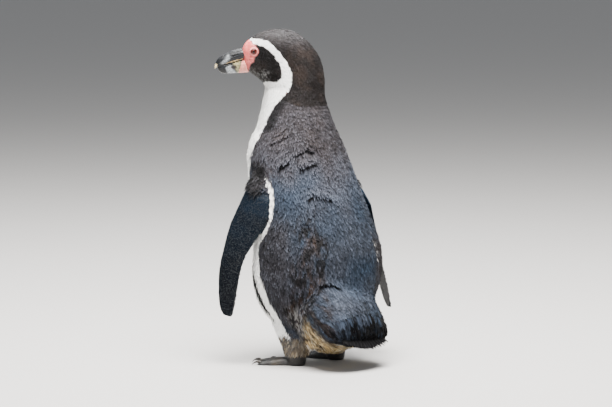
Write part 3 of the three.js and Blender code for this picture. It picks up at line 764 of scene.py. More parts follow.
def markings(points):
    """Every mask of the plumage, 0 to 1, at the given places."""
    at = Place(points)
    face, stripe = face_and_stripe(points)
    on_head = inside(at.level, HEAD_LEVEL, 0.5)
    band = flank_band(at)
    spots = breast_spots(at)
    worn, soot, cream = worn_streak(at)
    patch, flecks = flank_patch(at)
    stain, under = vent_stain(at)
    tips, smudge = tail_tips(at, under)
    chin = face * inside(at.ahead, 38, 5) * (1 - inside(at.level, 430, 6))
    chin *= inside(noise(points, 1.5, 20), 0.15, 0.15)
    white = np.where(at.level > HEAD_LEVEL, stripe, body_white(at)) * (1 - band) * (1 - spots)
    white = np.maximum.reduce([white, 0.14 * chin * on_head, 0.15 * cream, 0.3 * flecks])
    black = [0.5 * face * on_head, band, spots, 0.8 * dark_collar(at), 0.85 * soot, tips, 0.4 * patch]
    brown_neck = 0.22 * inside(at.level, 250, 40) * (0.5 + noise(points, 18, 11))
    wear = np.maximum.reduce([worn, cream, brown_neck, 0.8 * smudge, 0.45 * patch])
    # painted shade: low on the bird's left side the back is darker and its blue is dulled
    painted_shade_side = inside(at.spine, 54, 10) * (1 - inside(at.level, 218, 26)) * inside(at.level, 60, 12)
    hood = inside(at.level + at.rough, HOOD_EDGE + 10 * (1 - smoothstep(at.side, 62, 105)), 1.0)
    # painted sheen: the crown's top loses the hood's brown and takes a faint white, as light from above
    # would give it
    hood *= 1 - 0.7 * inside(at.level + 3 * at.rough, 470, 20) * (1 - face)
    painted_crown_sheen = 0.03 * inside(at.level + 3 * at.rough, 477, 14) * (1 - face)
    return {
        "white": np.maximum(white, painted_crown_sheen),
        "hood": hood,
        "black": np.maximum.reduce(black) * (1 - white),
        "blue": np.clip(slate_tint(at, painted_shade_side) * (1 - patch), 0, 1),
        "wear": np.clip(wear, 0, 1),
        "stain": stain * (1 - tips),
        "dark": 0.12 * painted_shade_side,
    }


MASKS = ("white", "hood", "black", "blue", "wear", "stain", "dark")
print(len(MASKS), "masks")

# %% Marks of the flippers and legs
BLADE_HALF = 22 * MM  # half the width of a flipper


def flipper_marks(masks, points, normals, weights):
    """A flipper is slate outside, and pale with a dark rim inside; painted shade darkens it low down and
    painted light lifts the right one's top.
    """
    level = points[:, 2] / MM
    for side, (middle, span, chord, outward) in flipper_axes.items():
        here = weights[f"flipper_{side}"] > 0.56
        inner = smoothstep(-(normals @ outward), -0.05, 0.25)
        reach = np.abs((points - middle) @ chord) / BLADE_HALF
        pale = inner * (1 - smoothstep(reach + 0.15 * noise(points, 7, 12), 0.55, 0.75))
        # painted shade darkens each flipper low down; painted light lifts the top of the right one
        low = 1 - inside(level, 165, 60)
        painted_light_top = inside(level, 185, 20) * (side == "right")
        for mask in masks.values():
            mask[here] = 0
        masks["white"][here] = 0.1 * pale[here]
        masks["wear"][here] = 0.6 * pale[here]
        masks["blue"][here] = 1
        masks["dark"][here] = ((0.58 + 0.34 * low - 0.3 * painted_light_top) * (1 - pale))[here]


def leg_marks(masks, points, weights):
    """The legs are dusky, and stained where they stand in dirt."""
    leg = smoothstep(weights["leg_left"] + weights["leg_right"], 0.15, 0.5)
    leg = np.clip(leg * (1.1 + 0.4 * noise(points, 7, 14)), 0, 1)
    leg *= 1 - 0.95 * inside(points[:, 2] / MM + 5 * noise(points, 5, 44), 47, 6)
    dusk = 0.55 * leg * inside(noise(points, 4, 15), 0.0, 0.5)
    dirt = 0.26 * leg * inside(noise(points, 2.2, 16), 0.1, 0.5)
    masks["white"] = np.maximum(masks["white"] * np.clip(1 - 1.5 * leg, 0, 1), 0.05 * leg)
    masks["hood"] = masks["hood"] * (1 - leg)
    masks["blue"] = masks["blue"] * (1 - leg)
    masks["wear"] = np.maximum(masks["wear"], 0.7 * leg)
    masks["black"] = np.maximum(masks["black"] * (1 - leg), dusk)
    masks["stain"] = np.maximum(masks["stain"] * (1 - 0.6 * leg), dirt)


def limb_marks(masks, points, normals, weights):
    """The body's masks with the flippers' and legs' own marks laid over them."""
    masks = {key: value.copy() for key, value in masks.items()}
    flipper_marks(masks, points, normals, weights)
    leg_marks(masks, points, weights)
    return masks


marks = limb_marks(markings(skin_points), skin_points, skin_normals, part_weight)
print({name: round(float(mask.mean()), 3) for name, mask in marks.items()})

# %% [markdown]
# ## Partings
# A stiff coat doesn't lie perfectly: where the body bends, a row of feathers lifts and shows a
# dark ragged gap under its tips. Each parting is a short path round the body. Feathers that end on
# it are lifted, and those that start just below it are pressed down and darkened with painted shadow.

# %% Measure the partings
PARTINGS = [[(141, 311), (147, 314), (152, 319), (158, 317), (165, 315.5)],
            [(150.5, 319), (152.8, 324)],
            [(149, 292.5), (157, 294.8), (163, 297.5), (171, 300)],
            [(151, 251.5), (165.4, 252.2), (180, 247.5)],
            [(126, 293), (133.4, 297.7), (139, 302.5)],
            [(117, 317), (119, 313)],
            [(101, 327.5), (106, 330)],
            [(95, 338), (99, 342)],
            [(109, 334), (113, 337)],
            [(150.6, 128.8), (162.3, 128.2), (169.3, 120.6)]]  # bearing, level


def partings(points):
    """How strongly a feather rooted here is lifted over a parting, and how much pressed below one."""
    turn = bearing(points)
    level = points[:, 2] / MM
    ragged = 1.4 * noise(points, 4, 22)
    lifted = np.zeros(len(points))
    pressed = np.zeros(len(points))
    for path in PARTINGS:
        path = np.array(path, float)
        path = path[np.argsort(path[:, 0])]
        across = np.minimum(turn - path[0, 0], path[-1, 0] - turn) * math.radians(1) * BODY_RADIUS
        span = smoothstep(across, -1.5, 2.0)
        above = level - np.interp(turn, path[:, 0], path[:, 1]) + ragged
        lifted = np.maximum(lifted, span * smoothstep(above, 3, 5) * (1 - smoothstep(above, 10, 14)))
        pressed = np.maximum(pressed, span * smoothstep(above, -4, -2) * (1 - smoothstep(above, 2, 4)))
    return lifted, pressed


print(len(PARTINGS), "partings")

# %% [markdown]
# ## Lie of the coat
# Feathers grow away from the bill, over the crown and down the body, along the tail and from each
# flipper's root to its tip. One direction for every point of the skin is blended from those and
# laid flat on the surface.

# %% Direction of growth
BILL_ROOT = head_point(72, 0, 448)
FACE_REACH = 55 * MM  # how far from the bill feathers still point away from it
DOWN_BODY = np.array([0.0, 0.2, -1.0])
DOWN_LEG = np.array([0, -0.2, -1.0])
ALONG_FOOT = np.array([0, -1.0, -0.2])


def laid_flat(flow, normals):
    return unit(flow - normals * np.sum(flow * normals, axis=1, keepdims=True))


def growth(points, normals, weights):
    """The way a feather would point at each place, before its neighbours are evened out."""
    away = unit(points - BILL_ROOT)
    near = np.exp(-np.linalg.norm(points - BILL_ROOT, axis=1) / FACE_REACH)[:, None]
    head = away * (0.25 + 1.6 * near) + DOWN_BODY * (1 - near)
    flow = (weights["head"] + 0.3 * weights["neck"])[:, None] * head
    flow = flow + (weights["trunk"] + 0.7 * weights["neck"])[:, None] * DOWN_BODY
    flow = flow + weights["tail"][:, None] * tail_back * 1.5
    for side in SIDES:
        flow = flow + weights[f"flipper_{side}"][:, None] * flipper_axes[side][1]
        flow = flow + weights[f"leg_{side}"][:, None] * DOWN_LEG
        flow = flow + weights[f"foot_{side}"][:, None] * ALONG_FOOT
    return laid_flat(flow, normals)


flow = growth(skin_points, skin_normals, part_weight)
flow = laid_flat(spread_evenly(flow, skin_edges, 8), skin_normals)
print("on the whole feathers point", unit(flow.mean(0)).round(2))

# %% [markdown]
# ## Where feathers stand
# A penguin's feathers stand evenly and close together. Here they are a little larger than life:
# one about every millimetre and a half on the back, and closer on the face and flippers. They
# could stand on a grid, but its rows would show. Instead random darts are thrown at the skin, and
# one is kept only if no kept one is nearer than the spacing there.

# %% Kinds of feather
FEATHER_SIZES = {
    "face": (0.95, 2.8, 1.4, 0.75),
    "hood": (1.25, 5.2, 1.9, 1.35),
    "neck": (1.4, 6.5, 2.1, 2.3),
    "mantle": (1.4, 7.2, 2.0, 2.6),
    "back": (1.5, 9.5, 2.1, 2.8),
    "belly": (2.0, 11.0, 3.3, 2.8),
    "vent": (2.1, 15.0, 2.6, 4.6),
    "tail": (1.8, 17.0, 2.9, 3.2),
    "leg": (1.6, 7.0, 2.3, 2.0),
    "flipper": (1.1, 2.5, 1.6, 0.5),
    "foot": (9.0, 1.0, 1.0, 0.1),
}  # spacing, length, width and standing height in mm; nothing grows on the foot
KINDS = list(FEATHER_SIZES)
SIZES = np.array(list(FEATHER_SIZES.values()))


def shoulder_ruffle(points):
    """The loose dark feathers that stand over the root of each flipper, 0 to 1."""
    level = points[:, 2] / MM + 6 * noise(points, 9, 21)
    side = np.abs(bearing(points)) + 7 * noise(points, 7, 24)
    zone = inside(side, 91, 4) * (1 - inside(side, 112, 4))
    return zone * inside(level, 260, 4) * (1 - inside(level, 306, 7))


def kind_of(points, weights, marks):
    """The number of the feather's kind at each place; a later rule wins over an earlier one."""
    level = points[:, 2] / MM
    ahead = head_coordinates(points)[0]
    down_tail = tail_coordinates(points)[0]
    in_front = np.abs(bearing(points)) < 72
    leg = weights["leg_left"] + weights["leg_right"]
    flipper = weights["flipper_left"] + weights["flipper_right"]
    foot = weights["foot_left"] + weights["foot_right"]
    rules = [
        ("mantle", level > 292),
        ("belly", (marks["white"] > 0.5) | in_front),
        ("neck", level > 345),
        ("vent", marks["stain"] > 0.4),
        ("hood", level > HOOD_EDGE - 1),
        ("face", (level > 405) & (ahead > 38 - 0.4 * np.abs(level - 445))),
        ("tail", (weights["tail"] > 0.5) & (down_tail > 0.4)),
        ("vent", (weights["tail"] > 0.3) & (marks["stain"] > 0.4)),
        ("leg", leg > 0.5),
        ("flipper", flipper > 0.5),
        ("mantle", shoulder_ruffle(points) > 0.5),
        ("foot", foot > 0.35),
    ]
    kind = np.full(len(points), KINDS.index("back"))
    for name, where in rules:
        kind[where] = KINDS.index(name)
    return kind


print("lengths from", SIZES[:, 1].min(), "to", SIZES[:, 1].max(), "mm")

# %% Throw the darts
DARTS = 380000

skin_tree = BVHTree.FromPolygons([Vector(p) for p in skin_points], skin_quads.tolist())
skin_triangles = np.concatenate([skin_quads[:, [0, 1, 2]], skin_quads[:, [0, 2, 3]]])


def throw_darts(count):
    """The triangle that each dart hits, and the shares of its corners there."""
    corners = skin_points[skin_triangles]
    edges = corners[:, 1:] - corners[:, :1]
    area = np.linalg.norm(np.cross(edges[:, 0], edges[:, 1]), axis=1)
    first = skin_triangles[:, 0]
    weights = {name: weight[first] for name, weight in part_weight.items()}
    masks = {name: mask[first] for name, mask in marks.items()}
    finest = 1.0 / SIZES[kind_of(corners.mean(1), weights, masks), 0] ** 2
    chance = area * finest
    chosen = dice.choice(len(area), count, p=chance / chance.sum())
    mix = dice.dirichlet((1, 1, 1), count)
    return chosen, mix


triangle, mix = throw_darts(DARTS)
corner_index = skin_triangles[triangle]


def at_darts(values):
    taken = values[corner_index]
    if values.ndim == 1:
        return np.sum(taken * mix, axis=1)
    return np.einsum("nij,ni->nj", taken, mix)


root_point = at_darts(skin_points)
root_weight = {name: at_darts(weight) for name, weight in part_weight.items()}
root_marks = {name: at_darts(mask) for name, mask in marks.items()}
root_kind = kind_of(root_point, root_weight, root_marks)
print(DARTS, "darts on", len(skin_triangles), "triangles")

# %% Keep those that stand apart
def keep_apart(points, spacing):
    """Greedy thinning: keep a point if no kept one is nearer than its spacing."""
    size = spacing.max()
    cells = np.floor(points / size).astype(int)
    grid = {}
    kept = []
    places = points.tolist()
    limits = (spacing ** 2).tolist()
    around = [(i, j, k) for i in (-1, 0, 1) for j in (-1, 0, 1) for k in (-1, 0, 1)]
    for index, (x, y, z) in enumerate(cells.tolist()):
        px, py, pz = places[index]
        limit = limits[index]
        free = True
        for i, j, k in around:
            for qx, qy, qz in grid.get((x + i, y + j, z + k), ()):
                if (qx - px) ** 2 + (qy - py) ** 2 + (qz - pz) ** 2 < limit:
                    free = False
                    break
            if not free:
                break
        if free:
            grid.setdefault((x, y, z), []).append((px, py, pz))
            kept.append(index)
    return np.array(kept, int)


def darts_to_keep():
    """Darts that stand apart from others of their kind, none of them on bare skin."""
    spacing = SIZES[root_kind, 0] * MM
    kept = []
    for kind, name in enumerate(KINDS):
        if name == "foot":
            continue
        members = np.flatnonzero(root_kind == kind)
        kept.append(members[keep_apart(root_point[members], spacing[members])])
    kept = np.concatenate(kept)
    bare_here = bare_amount(root_point[kept], 0.6) * (root_weight["head"][kept] > 0.5)
    return kept[bare_here < 0.5]


kept = darts_to_keep()
print("feathers:", len(kept), {name: int((root_kind[kept] == i).sum()) for i, name in enumerate(KINDS)})

# %% [markdown]
# ## One feather
# A contour feather is a shaft with a vane on each side, cambered, narrow at its base and blunt at
# its tip, lying on the feathers behind it. Each is a strip of three rails: edge, shaft, edge. Its
# tip ends on the skin further along, lifted by the coat's depth, so that the vanes shingle.

# %% Shapes of vane
BODY_VANE = ([0.0, 0.4, 0.78, 1.0], [0.45, 0.95, 0.85, 0.28])
SMALL_VANE = ([0.0, 0.55, 1.0], [0.6, 1.0, 0.4])
LONG_VANE = ([0.0, 0.3, 0.6, 0.85, 1.0], [0.5, 0.95, 1.0, 0.85, 0.3])
FLUFF_VANE = ([0.0, 0.35, 0.7, 1.0], [0.5, 1.0, 0.7, 0.12])  # places along it, share of its width
RAILS = np.array([-1.0, 0.0, 1.0])  # edge, shaft, edge
ROOT_SUNK = 0.25 * MM  # the base of a vane starts this far under the skin
CAMBER = 0.16  # how far the edges drop, as a share of the half width


def nearest_on_skin(points):
    """The nearest place of the skin to each point, and its face."""
    found = [skin_tree.find_nearest(Vector(p)) for p in points]
    return np.array([f[0] for f in found]), np.array([f[2] for f in found])


def normal_of_face(faces):
    return unit(skin_normals[skin_quads[faces]].mean(1))


def lay_vanes(root, normal, way, length, width, height, vane, fray, twist):
    """Corner places of every vane: feathers x rows x 3 rails x 3."""
    count = len(root)
    along, profile = (np.array(v) for v in vane)
    across = unit(np.cross(way, normal))
    tip, face = nearest_on_skin(root + way * length[:, None])
    half_way, _ = nearest_on_skin((root + tip) / 2)
    sag = half_way - (root + tip) / 2
    t = along[None, :, None]
    line = root[:, None] * (1 - t) + tip[:, None] * t + sag[:, None] * 4 * t * (1 - t)
    out = unit(normal[:, None] * (1 - t) + normal_of_face(face)[:, None] * t)
    line = line + out * (-ROOT_SUNK + (height[:, None, None] + ROOT_SUNK) * t ** 0.8)
    spread = profile[None, :, None] * width[:, None, None] * 0.5 * RAILS
    roll = twist[:, None, None] * RAILS * width[:, None, None] * 0.5
    rise = roll * along[None, :, None] - CAMBER * np.abs(spread)
    corners = line[:, :, None, :] + across[:, None, None, :] * spread[..., None]
    corners = corners + out[:, :, None, :] * rise[..., None]
    ragged = dice.normal(0, 1, (count, 1, 3)) * fray * length[:, None, None]
    corners[:, -1:, :, :] += way[:, None, None, :] * ragged[..., None]
    return corners


print("a body vane has", len(BODY_VANE[0]), "rows")

# %% Places on the flat map
MAP_TOP = 0.5  # metres: the whole bird's height goes on the map
BLADE_SPACE = (0.16, 0.26)  # metres across and along a flipper that the map holds
PATCH = 0.003  # size of one feather on the map


def body_unwrap(points):
    """A place on the flat map for each root: round the body, and up it."""
    u = (bearing(points) + 180) / 360
    v = points[:, 2] / MAP_TOP
    return np.stack([0.005 + 0.99 * u, 0.01 + 0.97 * v], 1)


def blade_unwrap(points, normals, side):
    """A flipper's outside goes on the left half of its map, its inside on the right."""
    middle, span, chord, outward = flipper_axes[side]
    away = points - middle
    u = 0.25 + (away @ chord) / BLADE_SPACE[0]
    u = np.where(normals @ outward > 0, u, u + 0.5)
    v = 0.5 + (away @ span) / BLADE_SPACE[1]
    return np.stack([u, v], 1)


flat_place = body_unwrap(root_point[kept])
print("the body's map runs from", flat_place.min(0).round(2), "to", flat_place.max(0).round(2))

# %% Store values on points and seat a piece
def set_floats(mesh, values):
    for key, value in values.items():
        layer = mesh.attributes.new(key, "FLOAT", "POINT")
        layer.data.foreach_set("value", np.ascontiguousarray(value, np.float32))


def smooth_faces(mesh):
    mesh.polygons.foreach_set("use_smooth", np.ones(len(mesh.polygons), bool))


def own_piece(name, mesh, material):
    """A new object that rides on the body and takes this material."""
    mesh.materials.clear()
    mesh.materials.append(material)
    smooth_faces(mesh)
    piece = bpy.data.objects.new(name, mesh)
    bpy.context.scene.collection.objects.link(piece)
    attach(piece, "root")
    return piece


print("pieces ride on the body's root")

# %% Join vanes into one mesh
def vane_quads(count, rows):
    """Corner numbers of every face of every vane."""
    per_vane = rows * 3
    strip = []
    for row in range(rows - 1):
        for rail in range(2):
            a = row * 3 + rail
            strip.append([a, a + 1, a + 4, a + 3])
    return (np.arange(count)[:, None, None] * per_vane + np.array(strip)[None]).reshape(-1)


def mesh_from_vanes(name, corners, vane, root_place, values):
    count, rows = corners.shape[:2]
    per_vane = rows * 3
    quads = vane_quads(count, rows)
    faces = len(quads) // 4
    mesh = bpy.data.meshes.new(name)
    mesh.vertices.add(count * per_vane)
    mesh.vertices.foreach_set("co", corners.astype(np.float32).ravel())
    mesh.loops.add(len(quads))
    mesh.loops.foreach_set("vertex_index", quads.astype(np.int32))
    mesh.polygons.add(faces)
    mesh.polygons.foreach_set("loop_start", np.arange(faces, dtype=np.int32) * 4)
    mesh.polygons.foreach_set("loop_total", np.full(faces, 4, np.int32))
    along = np.tile(np.repeat(np.array(vane[0]), 3), count)
    across = np.tile(np.array([0.0, 0.5, 1.0]), count * rows)
    set_floats(mesh, {key: np.repeat(value, per_vane) for key, value in values.items()})
    set_floats(mesh, {"along": along, "across": across})
    flat = mesh.uv_layers.new(name="OFBake")
    place = np.repeat(root_place, per_vane, axis=0)
    place = place + np.stack([(across - 0.5) * PATCH, (along - 0.5) * PATCH], 1)
    flat.data.foreach_set("uv", place[quads].astype(np.float32).ravel())
    mesh.update(calc_edges=True)
    mesh.validate()
    return mesh


print("one body vane has", len(vane_quads(1, len(BODY_VANE[0]))) // 4, "faces")

# %% [markdown]
# ## Plumage finish
# A feather's colour comes from pigment in its vane: darker at the hidden base, often with a pale
# worn fringe at the tip, and never quite the same as its neighbour's. One node group mixes the
# named colours by the masks, and each coat material uses it with its own fringe, barbs, sheen and gloss.

# %% Named colours
def linear(red, green, blue):
    """A colour given as seen on a screen, 0 to 255, as light."""
    shares = [c / 255 for c in (red, green, blue)]
    return tuple(((c + 0.055) / 1.055) ** 2.4 if c > 0.04 else c / 12.92 for c in shares) + (1.0,)


COLOURS = {
    "mantle": linear(48, 45, 48),
    "slate": linear(31, 45, 60),
    "hood": linear(17, 12, 10),
    "rust": linear(34, 25, 20),
    "worn": linear(44, 31, 22),
    "sooty": linear(5, 5, 6),
    "fringe": linear(92, 94, 102),
    "blue fringe": linear(84, 99, 118),
    "shaft": linear(150, 146, 142),
    "snow": linear(252, 252, 250),
    "dull snow": linear(188, 184, 178),
    "snow's base": linear(120, 118, 118),
    "dirt": linear(118, 92, 62),
    "ochre": linear(216, 190, 138),
    "pale ochre": linear(232, 220, 188),
}
print(len(COLOURS), "colours")

# %% A short hand for wiring nodes
class Nodes:
    """Short hand for wiring a node tree."""

    def __init__(self, tree):
        self.tree = tree

    def add(self, kind, **settings):
        node = self.tree.nodes.new(kind)
        for key, value in settings.items():
            setattr(node, key, value)
        return node

    def join(self, source, target):
        self.tree.links.new(source, target)

    def put(self, socket, value):
        if isinstance(value, bpy.types.NodeSocket):
            self.join(value, socket)
        elif value is not None:
            socket.default_value = value

    def math(self, operation, a, b=None, c=None, clamp=False):
        node = self.add("ShaderNodeMath", operation=operation, use_clamp=clamp)
        for socket, value in zip(node.inputs, (a, b, c)):
            self.put(socket, value)
        return node.outputs[0]

    def mix(self, factor, a, b, blend="MIX"):
        node = self.add("ShaderNodeMix", data_type="RGBA", blend_type=blend)
        self.put(node.inputs[0], factor)
        self.put(node.inputs[6], a)
        self.put(node.inputs[7], b)
        return node.outputs[2]

    def ramp(self, value, low, high, to_low=0.0, to_high=1.0, smooth=True):
        node = self.add("ShaderNodeMapRange", interpolation_type="SMOOTHSTEP" if smooth else "LINEAR")
        for socket, given in zip(node.inputs, (value, low, high, to_low, to_high)):
            self.put(socket, given)
        return node.outputs[0]

    def noise(self, scale, detail=3.0, vector=None, distortion=0.0):
        node = self.add("ShaderNodeTexNoise")
        node.inputs["Scale"].default_value = scale
        node.inputs["Detail"].default_value = detail
        node.inputs["Distortion"].default_value = distortion
        if vector is not None:
            self.join(vector, node.inputs["Vector"])
        return node.outputs["Fac"]

    def attribute(self, name):
        return self.add("ShaderNodeAttribute", attribute_name=name).outputs["Fac"]

    def place(self):
        return self.add("ShaderNodeTexCoord").outputs["Object"]


print("short hand:", [name for name in vars(Nodes) if not name.startswith("_")])

# %% Start a group, a material and a relief
def new_group(name, inputs, outputs):
    """An empty group with these sockets, and the means to fill it."""
    tree = bpy.data.node_groups.new(name, "ShaderNodeTree")
    for key, value in inputs.items():
        kind = "NodeSocketColor" if isinstance(value, tuple) else "NodeSocketFloat"
        socket = tree.interface.new_socket(name=key, in_out="INPUT", socket_type=kind)
        socket.default_value = value
    for key in outputs:
        kind = "NodeSocketColor" if key == "Color" else "NodeSocketFloat"
        tree.interface.new_socket(name=key, in_out="OUTPUT", socket_type=kind)
    wires = Nodes(tree)
    source = wires.add("NodeGroupInput")
    target = wires.add("NodeGroupOutput")
    return tree, wires, source.outputs, target.inputs


def new_material(name):
    material = bpy.data.materials.new(name)
    material.use_nodes = True
    return material, Nodes(material.node_tree), material.node_tree.nodes["Principled BSDF"]


def add_relief(w, height, strength, distance, shader):
    """Bumps of this height, with the distance in metres."""
    relief = w.add("ShaderNodeBump")
    relief.inputs["Strength"].default_value = strength
    relief.inputs["Distance"].default_value = distance
    w.join(height, relief.inputs["Height"])
    w.join(relief.outputs["Normal"], shader.inputs["Normal"])


print("three ways to start a finish")

# %% Colour of one feather
BARB_RIPPLE = 90.0  # radians of ripple along a whole vane
BARB_SLANT = 46.0  # and across it, so that the barbs slant


def off_shaft(w, given):
    """0 on the feather's shaft, a half on its edges."""
    return w.math("ABSOLUTE", w.math("SUBTRACT", given["across"], 0.5))


def pale_fringe(w, given):
    """How much of the worn pale fringe shows: on tips and edges, less on hood and slate."""
    tip = w.ramp(given["along"], 0.72, 1.0)
    edge = w.ramp(off_shaft(w, given), 0.25, 0.5)
    fringe = w.math("MAXIMUM", tip, w.math("MULTIPLY", edge, 0.6))
    speck = w.ramp(given["tone"], 0.35, 0.9)
    fringe = w.math("MULTIPLY", w.math("MULTIPLY", fringe, given["Fringe"]), speck)
    fringe = w.math("MULTIPLY", fringe, w.ramp(given["hood"], 0.0, 1.0, 1.0, 0.25))
    return w.math("MULTIPLY", fringe, w.ramp(given["blue"], 0.35, 0.9, 1.0, 0.18))


def dark_plumage(w, given, place):
    """Back, hood, worn and black feathers, shaded by tone and darker at their bases."""
    colour = w.mix(given["blue"], COLOURS["mantle"], COLOURS["slate"])
    colour = w.mix(given["wear"], colour, COLOURS["worn"])
    rusty = w.ramp(w.noise(38.0, 3.0, place), 0.45, 0.7)
    colour = w.mix(given["hood"], colour, w.mix(rusty, COLOURS["hood"], COLOURS["rust"]))
    pale_edge = w.mix(given["blue"], COLOURS["fringe"], COLOURS["blue fringe"])
    colour = w.mix(pale_fringe(w, given), colour, pale_edge)
    colour = w.mix(w.math("MAXIMUM", given["black"], given["dark"]), colour, COLOURS["sooty"])
    shade = w.ramp(given["tone"], 0.0, 1.0, 0.5, 1.4, smooth=False)
    base = w.ramp(given["along"], 0.1, 0.75, 0.45, 1.0)
    patch = w.ramp(w.noise(60.0, 2.0, place), 0.3, 0.7, 0.86, 1.12)
    shade = w.math("MULTIPLY", w.math("MULTIPLY", shade, base), patch)
    return w.mix(1.0, colour, shade, "MULTIPLY")


def white_plumage(w, given):
    snow = w.mix(w.ramp(given["tone"], 0.0, 1.0, 0.0, 0.1), COLOURS["snow"], COLOURS["dull snow"])
    return w.mix(w.ramp(given["along"], 0.0, 0.6, 0.35, 0.0), snow, COLOURS["snow's base"])


def soiled_plumage(w, given):
    dirty = w.mix(w.ramp(given["tone"], 0.12, 0.65), COLOURS["dirt"], COLOURS["ochre"])
    return w.mix(w.ramp(given["tone"], 0.6, 0.88), dirty, COLOURS["pale ochre"])


def barbs_and_shaft(w, given):
    """Relief of the slanting barbs, and where the shaft is."""
    slant = w.math("MULTIPLY", off_shaft(w, given), BARB_SLANT)
    barb = w.math("SINE", w.math("ADD", w.math("MULTIPLY", given["along"], BARB_RIPPLE), slant))
    shaft = w.ramp(off_shaft(w, given), 0.0, 0.09, 1.0, 0.0)
    return w.math("ADD", w.math("MULTIPLY", barb, 0.35), shaft), shaft


print("about", round(BARB_RIPPLE / (2 * math.pi)), "ripples of barbs on a vane")

# %% The plumage group
def plumage_group():
    inputs = {name: 0.0 for name in MASKS}
    inputs.update({"tone": 0.5, "along": 1.0, "across": 0.5, "Fringe": 0.6, "Barbs": 1.0})
    tree, w, given, out = new_group("plumage", inputs, ("Color", "Roughness", "Height"))
    place = w.place()
    colour = w.mix(given["white"], dark_plumage(w, given, place), white_plumage(w, given))
    blotch = w.ramp(w.noise(90.0, 3.0, place), 0.34, 0.62, 0.3, 1.0)
    colour = w.mix(w.math("MULTIPLY", given["stain"], blotch), colour, soiled_plumage(w, given))
    height, shaft = barbs_and_shaft(w, given)
    shaft_colour = w.mix(1.0, colour, COLOURS["shaft"], "MULTIPLY")
    w.join(w.mix(w.math("MULTIPLY", shaft, 0.35), colour, shaft_colour), out["Color"])
    rough = w.ramp(given["white"], 0.0, 1.0, 0.58, 0.7)
    grain = w.math("MULTIPLY", w.noise(300.0, 2.0, place), 0.12)
    w.join(w.math("ADD", rough, grain), out["Roughness"])
    w.join(w.math("MULTIPLY", height, given["Barbs"]), out["Height"])
    return tree


plumage = plumage_group()
print("the plumage group has", len(plumage.nodes), "nodes")

# %% The three coat materials
BARB_RELIEF = 0.2 * MM


def plumage_material(name, fringe, barbs, sheen, bump, gloss=0.1):
    material, w, shader = new_material(name)
    group = w.add("ShaderNodeGroup", node_tree=plumage)
    for key in MASKS + ("tone", "along", "across"):
        w.join(w.attribute(key), group.inputs[key])
    group.inputs["Fringe"].default_value = fringe
    group.inputs["Barbs"].default_value = barbs
    w.join(group.outputs["Color"], shader.inputs["Base Color"])
    w.join(group.outputs["Roughness"], shader.inputs["Roughness"])
    add_relief(w, group.outputs["Height"], bump, BARB_RELIEF, shader)
    shader.inputs["Specular IOR Level"].default_value = gloss
    shader.inputs["Sheen Weight"].default_value = sheen
    shader.inputs["Sheen Roughness"].default_value = 0.45
    return material


coat_material = plumage_material("body_plumage", 0.55, 1.0, 0.03, 0.5)
flipper_material = plumage_material("flipper_plumage", 0.03, 0.4, 0.0, 0.2, gloss=0.03)
tail_material = plumage_material("tail_plumage", 0.4, 1.0, 0.02, 0.5, gloss=0.04)
print("three coat materials")

# %% [markdown]
# ## The coat
# No two feathers are alike: each has its own tone, length and lift, and leans a little its own
# way. Those could come from a particle system, but a joined mesh of vanes can carry the marks and
# be exported. The loose feathers over the flippers' roots are longer, and stand in disorder.

# %% Read the skin at each root
normal_here = unit(at_darts(skin_normals)[kept])
flow_here = at_darts(flow)[kept]
point_here = root_point[kept]
kind_here = root_kind[kept]
weight_here = {name: weight[kept] for name, weight in root_weight.items()}
level_here = point_here[:, 2] / MM
turn_here = bearing(point_here)
side_here = np.abs(turn_here)
count = len(kept)


def of_kind(name):
    return kind_here == KINDS.index(name)


on_flipper = of_kind("flipper")
print(int(on_flipper.sum()), "feathers on the flippers")

# %% Tone of each feather
yaw = dice.normal(0, 1, count)
twist = dice.normal(0, 1, count)


def between(value, low, low_soft, high, high_soft):
    """1 between two edges, 0 outside them."""
    return inside(value, low, low_soft) * (1 - inside(value, high, high_soft))


def painted_light_zones():
    """Where the coat is painted lighter as painted light or, below nought, darker as painted shade, beyond
    its pigment alone.
    """
    behind = (turn_here + 360) % 360
    zones = between(level_here, 247, 12, 312, 14) * 0.33
    zones += 0.16 * between(level_here, 290, 14, 350, 12) * (1 - inside(side_here, 128, 14))
    zones += 0.16 * between(level_here, 100, 10, 146, 12) * inside(side_here, 146, 8)
    zones -= 0.13 * between(level_here, 150, 14, 216, 16)
    zones += 0.26 * inside(behind, 160, 7) * inside(side_here, 130, 8) * (1 - inside(level_here, 128, 14))
    return zones


ruffle = shoulder_ruffle(point_here)
streaks_here = point_here * STREAK
low_back = of_kind("back") * (1 - inside(level_here, 235, 40))
# each feather's tone is random, raised in some zones as painted light and lowered in one as painted shade
tone = np.clip(dice.normal(0.5, 0.21, count) + painted_light_zones(), 0, 1)
tone = np.clip(tone + 0.3 * low_back * noise(streaks_here, 2.4, 27), 0, 1)
tone = np.where(on_flipper, 0.35 + 0.15 * (tone - 0.5), tone)
tone = np.clip(tone + ruffle * (0.5 * noise(point_here, 2.6, 46) - 0.15) * ~on_flipper, 0, 1)
print("mean tone", tone.mean().round(3))

# %% Direction of each feather
disorder = 0.11 + 0.45 * ruffle
disorder = np.where(of_kind("vent"), 0.3, disorder)
disorder = np.where(on_flipper, 0.05, disorder)
side_way = np.cross(flow_here, normal_here)
way = unit(flow_here + side_way * (yaw * disorder)[:, None])
print("mean disorder", disorder.mean().round(3))

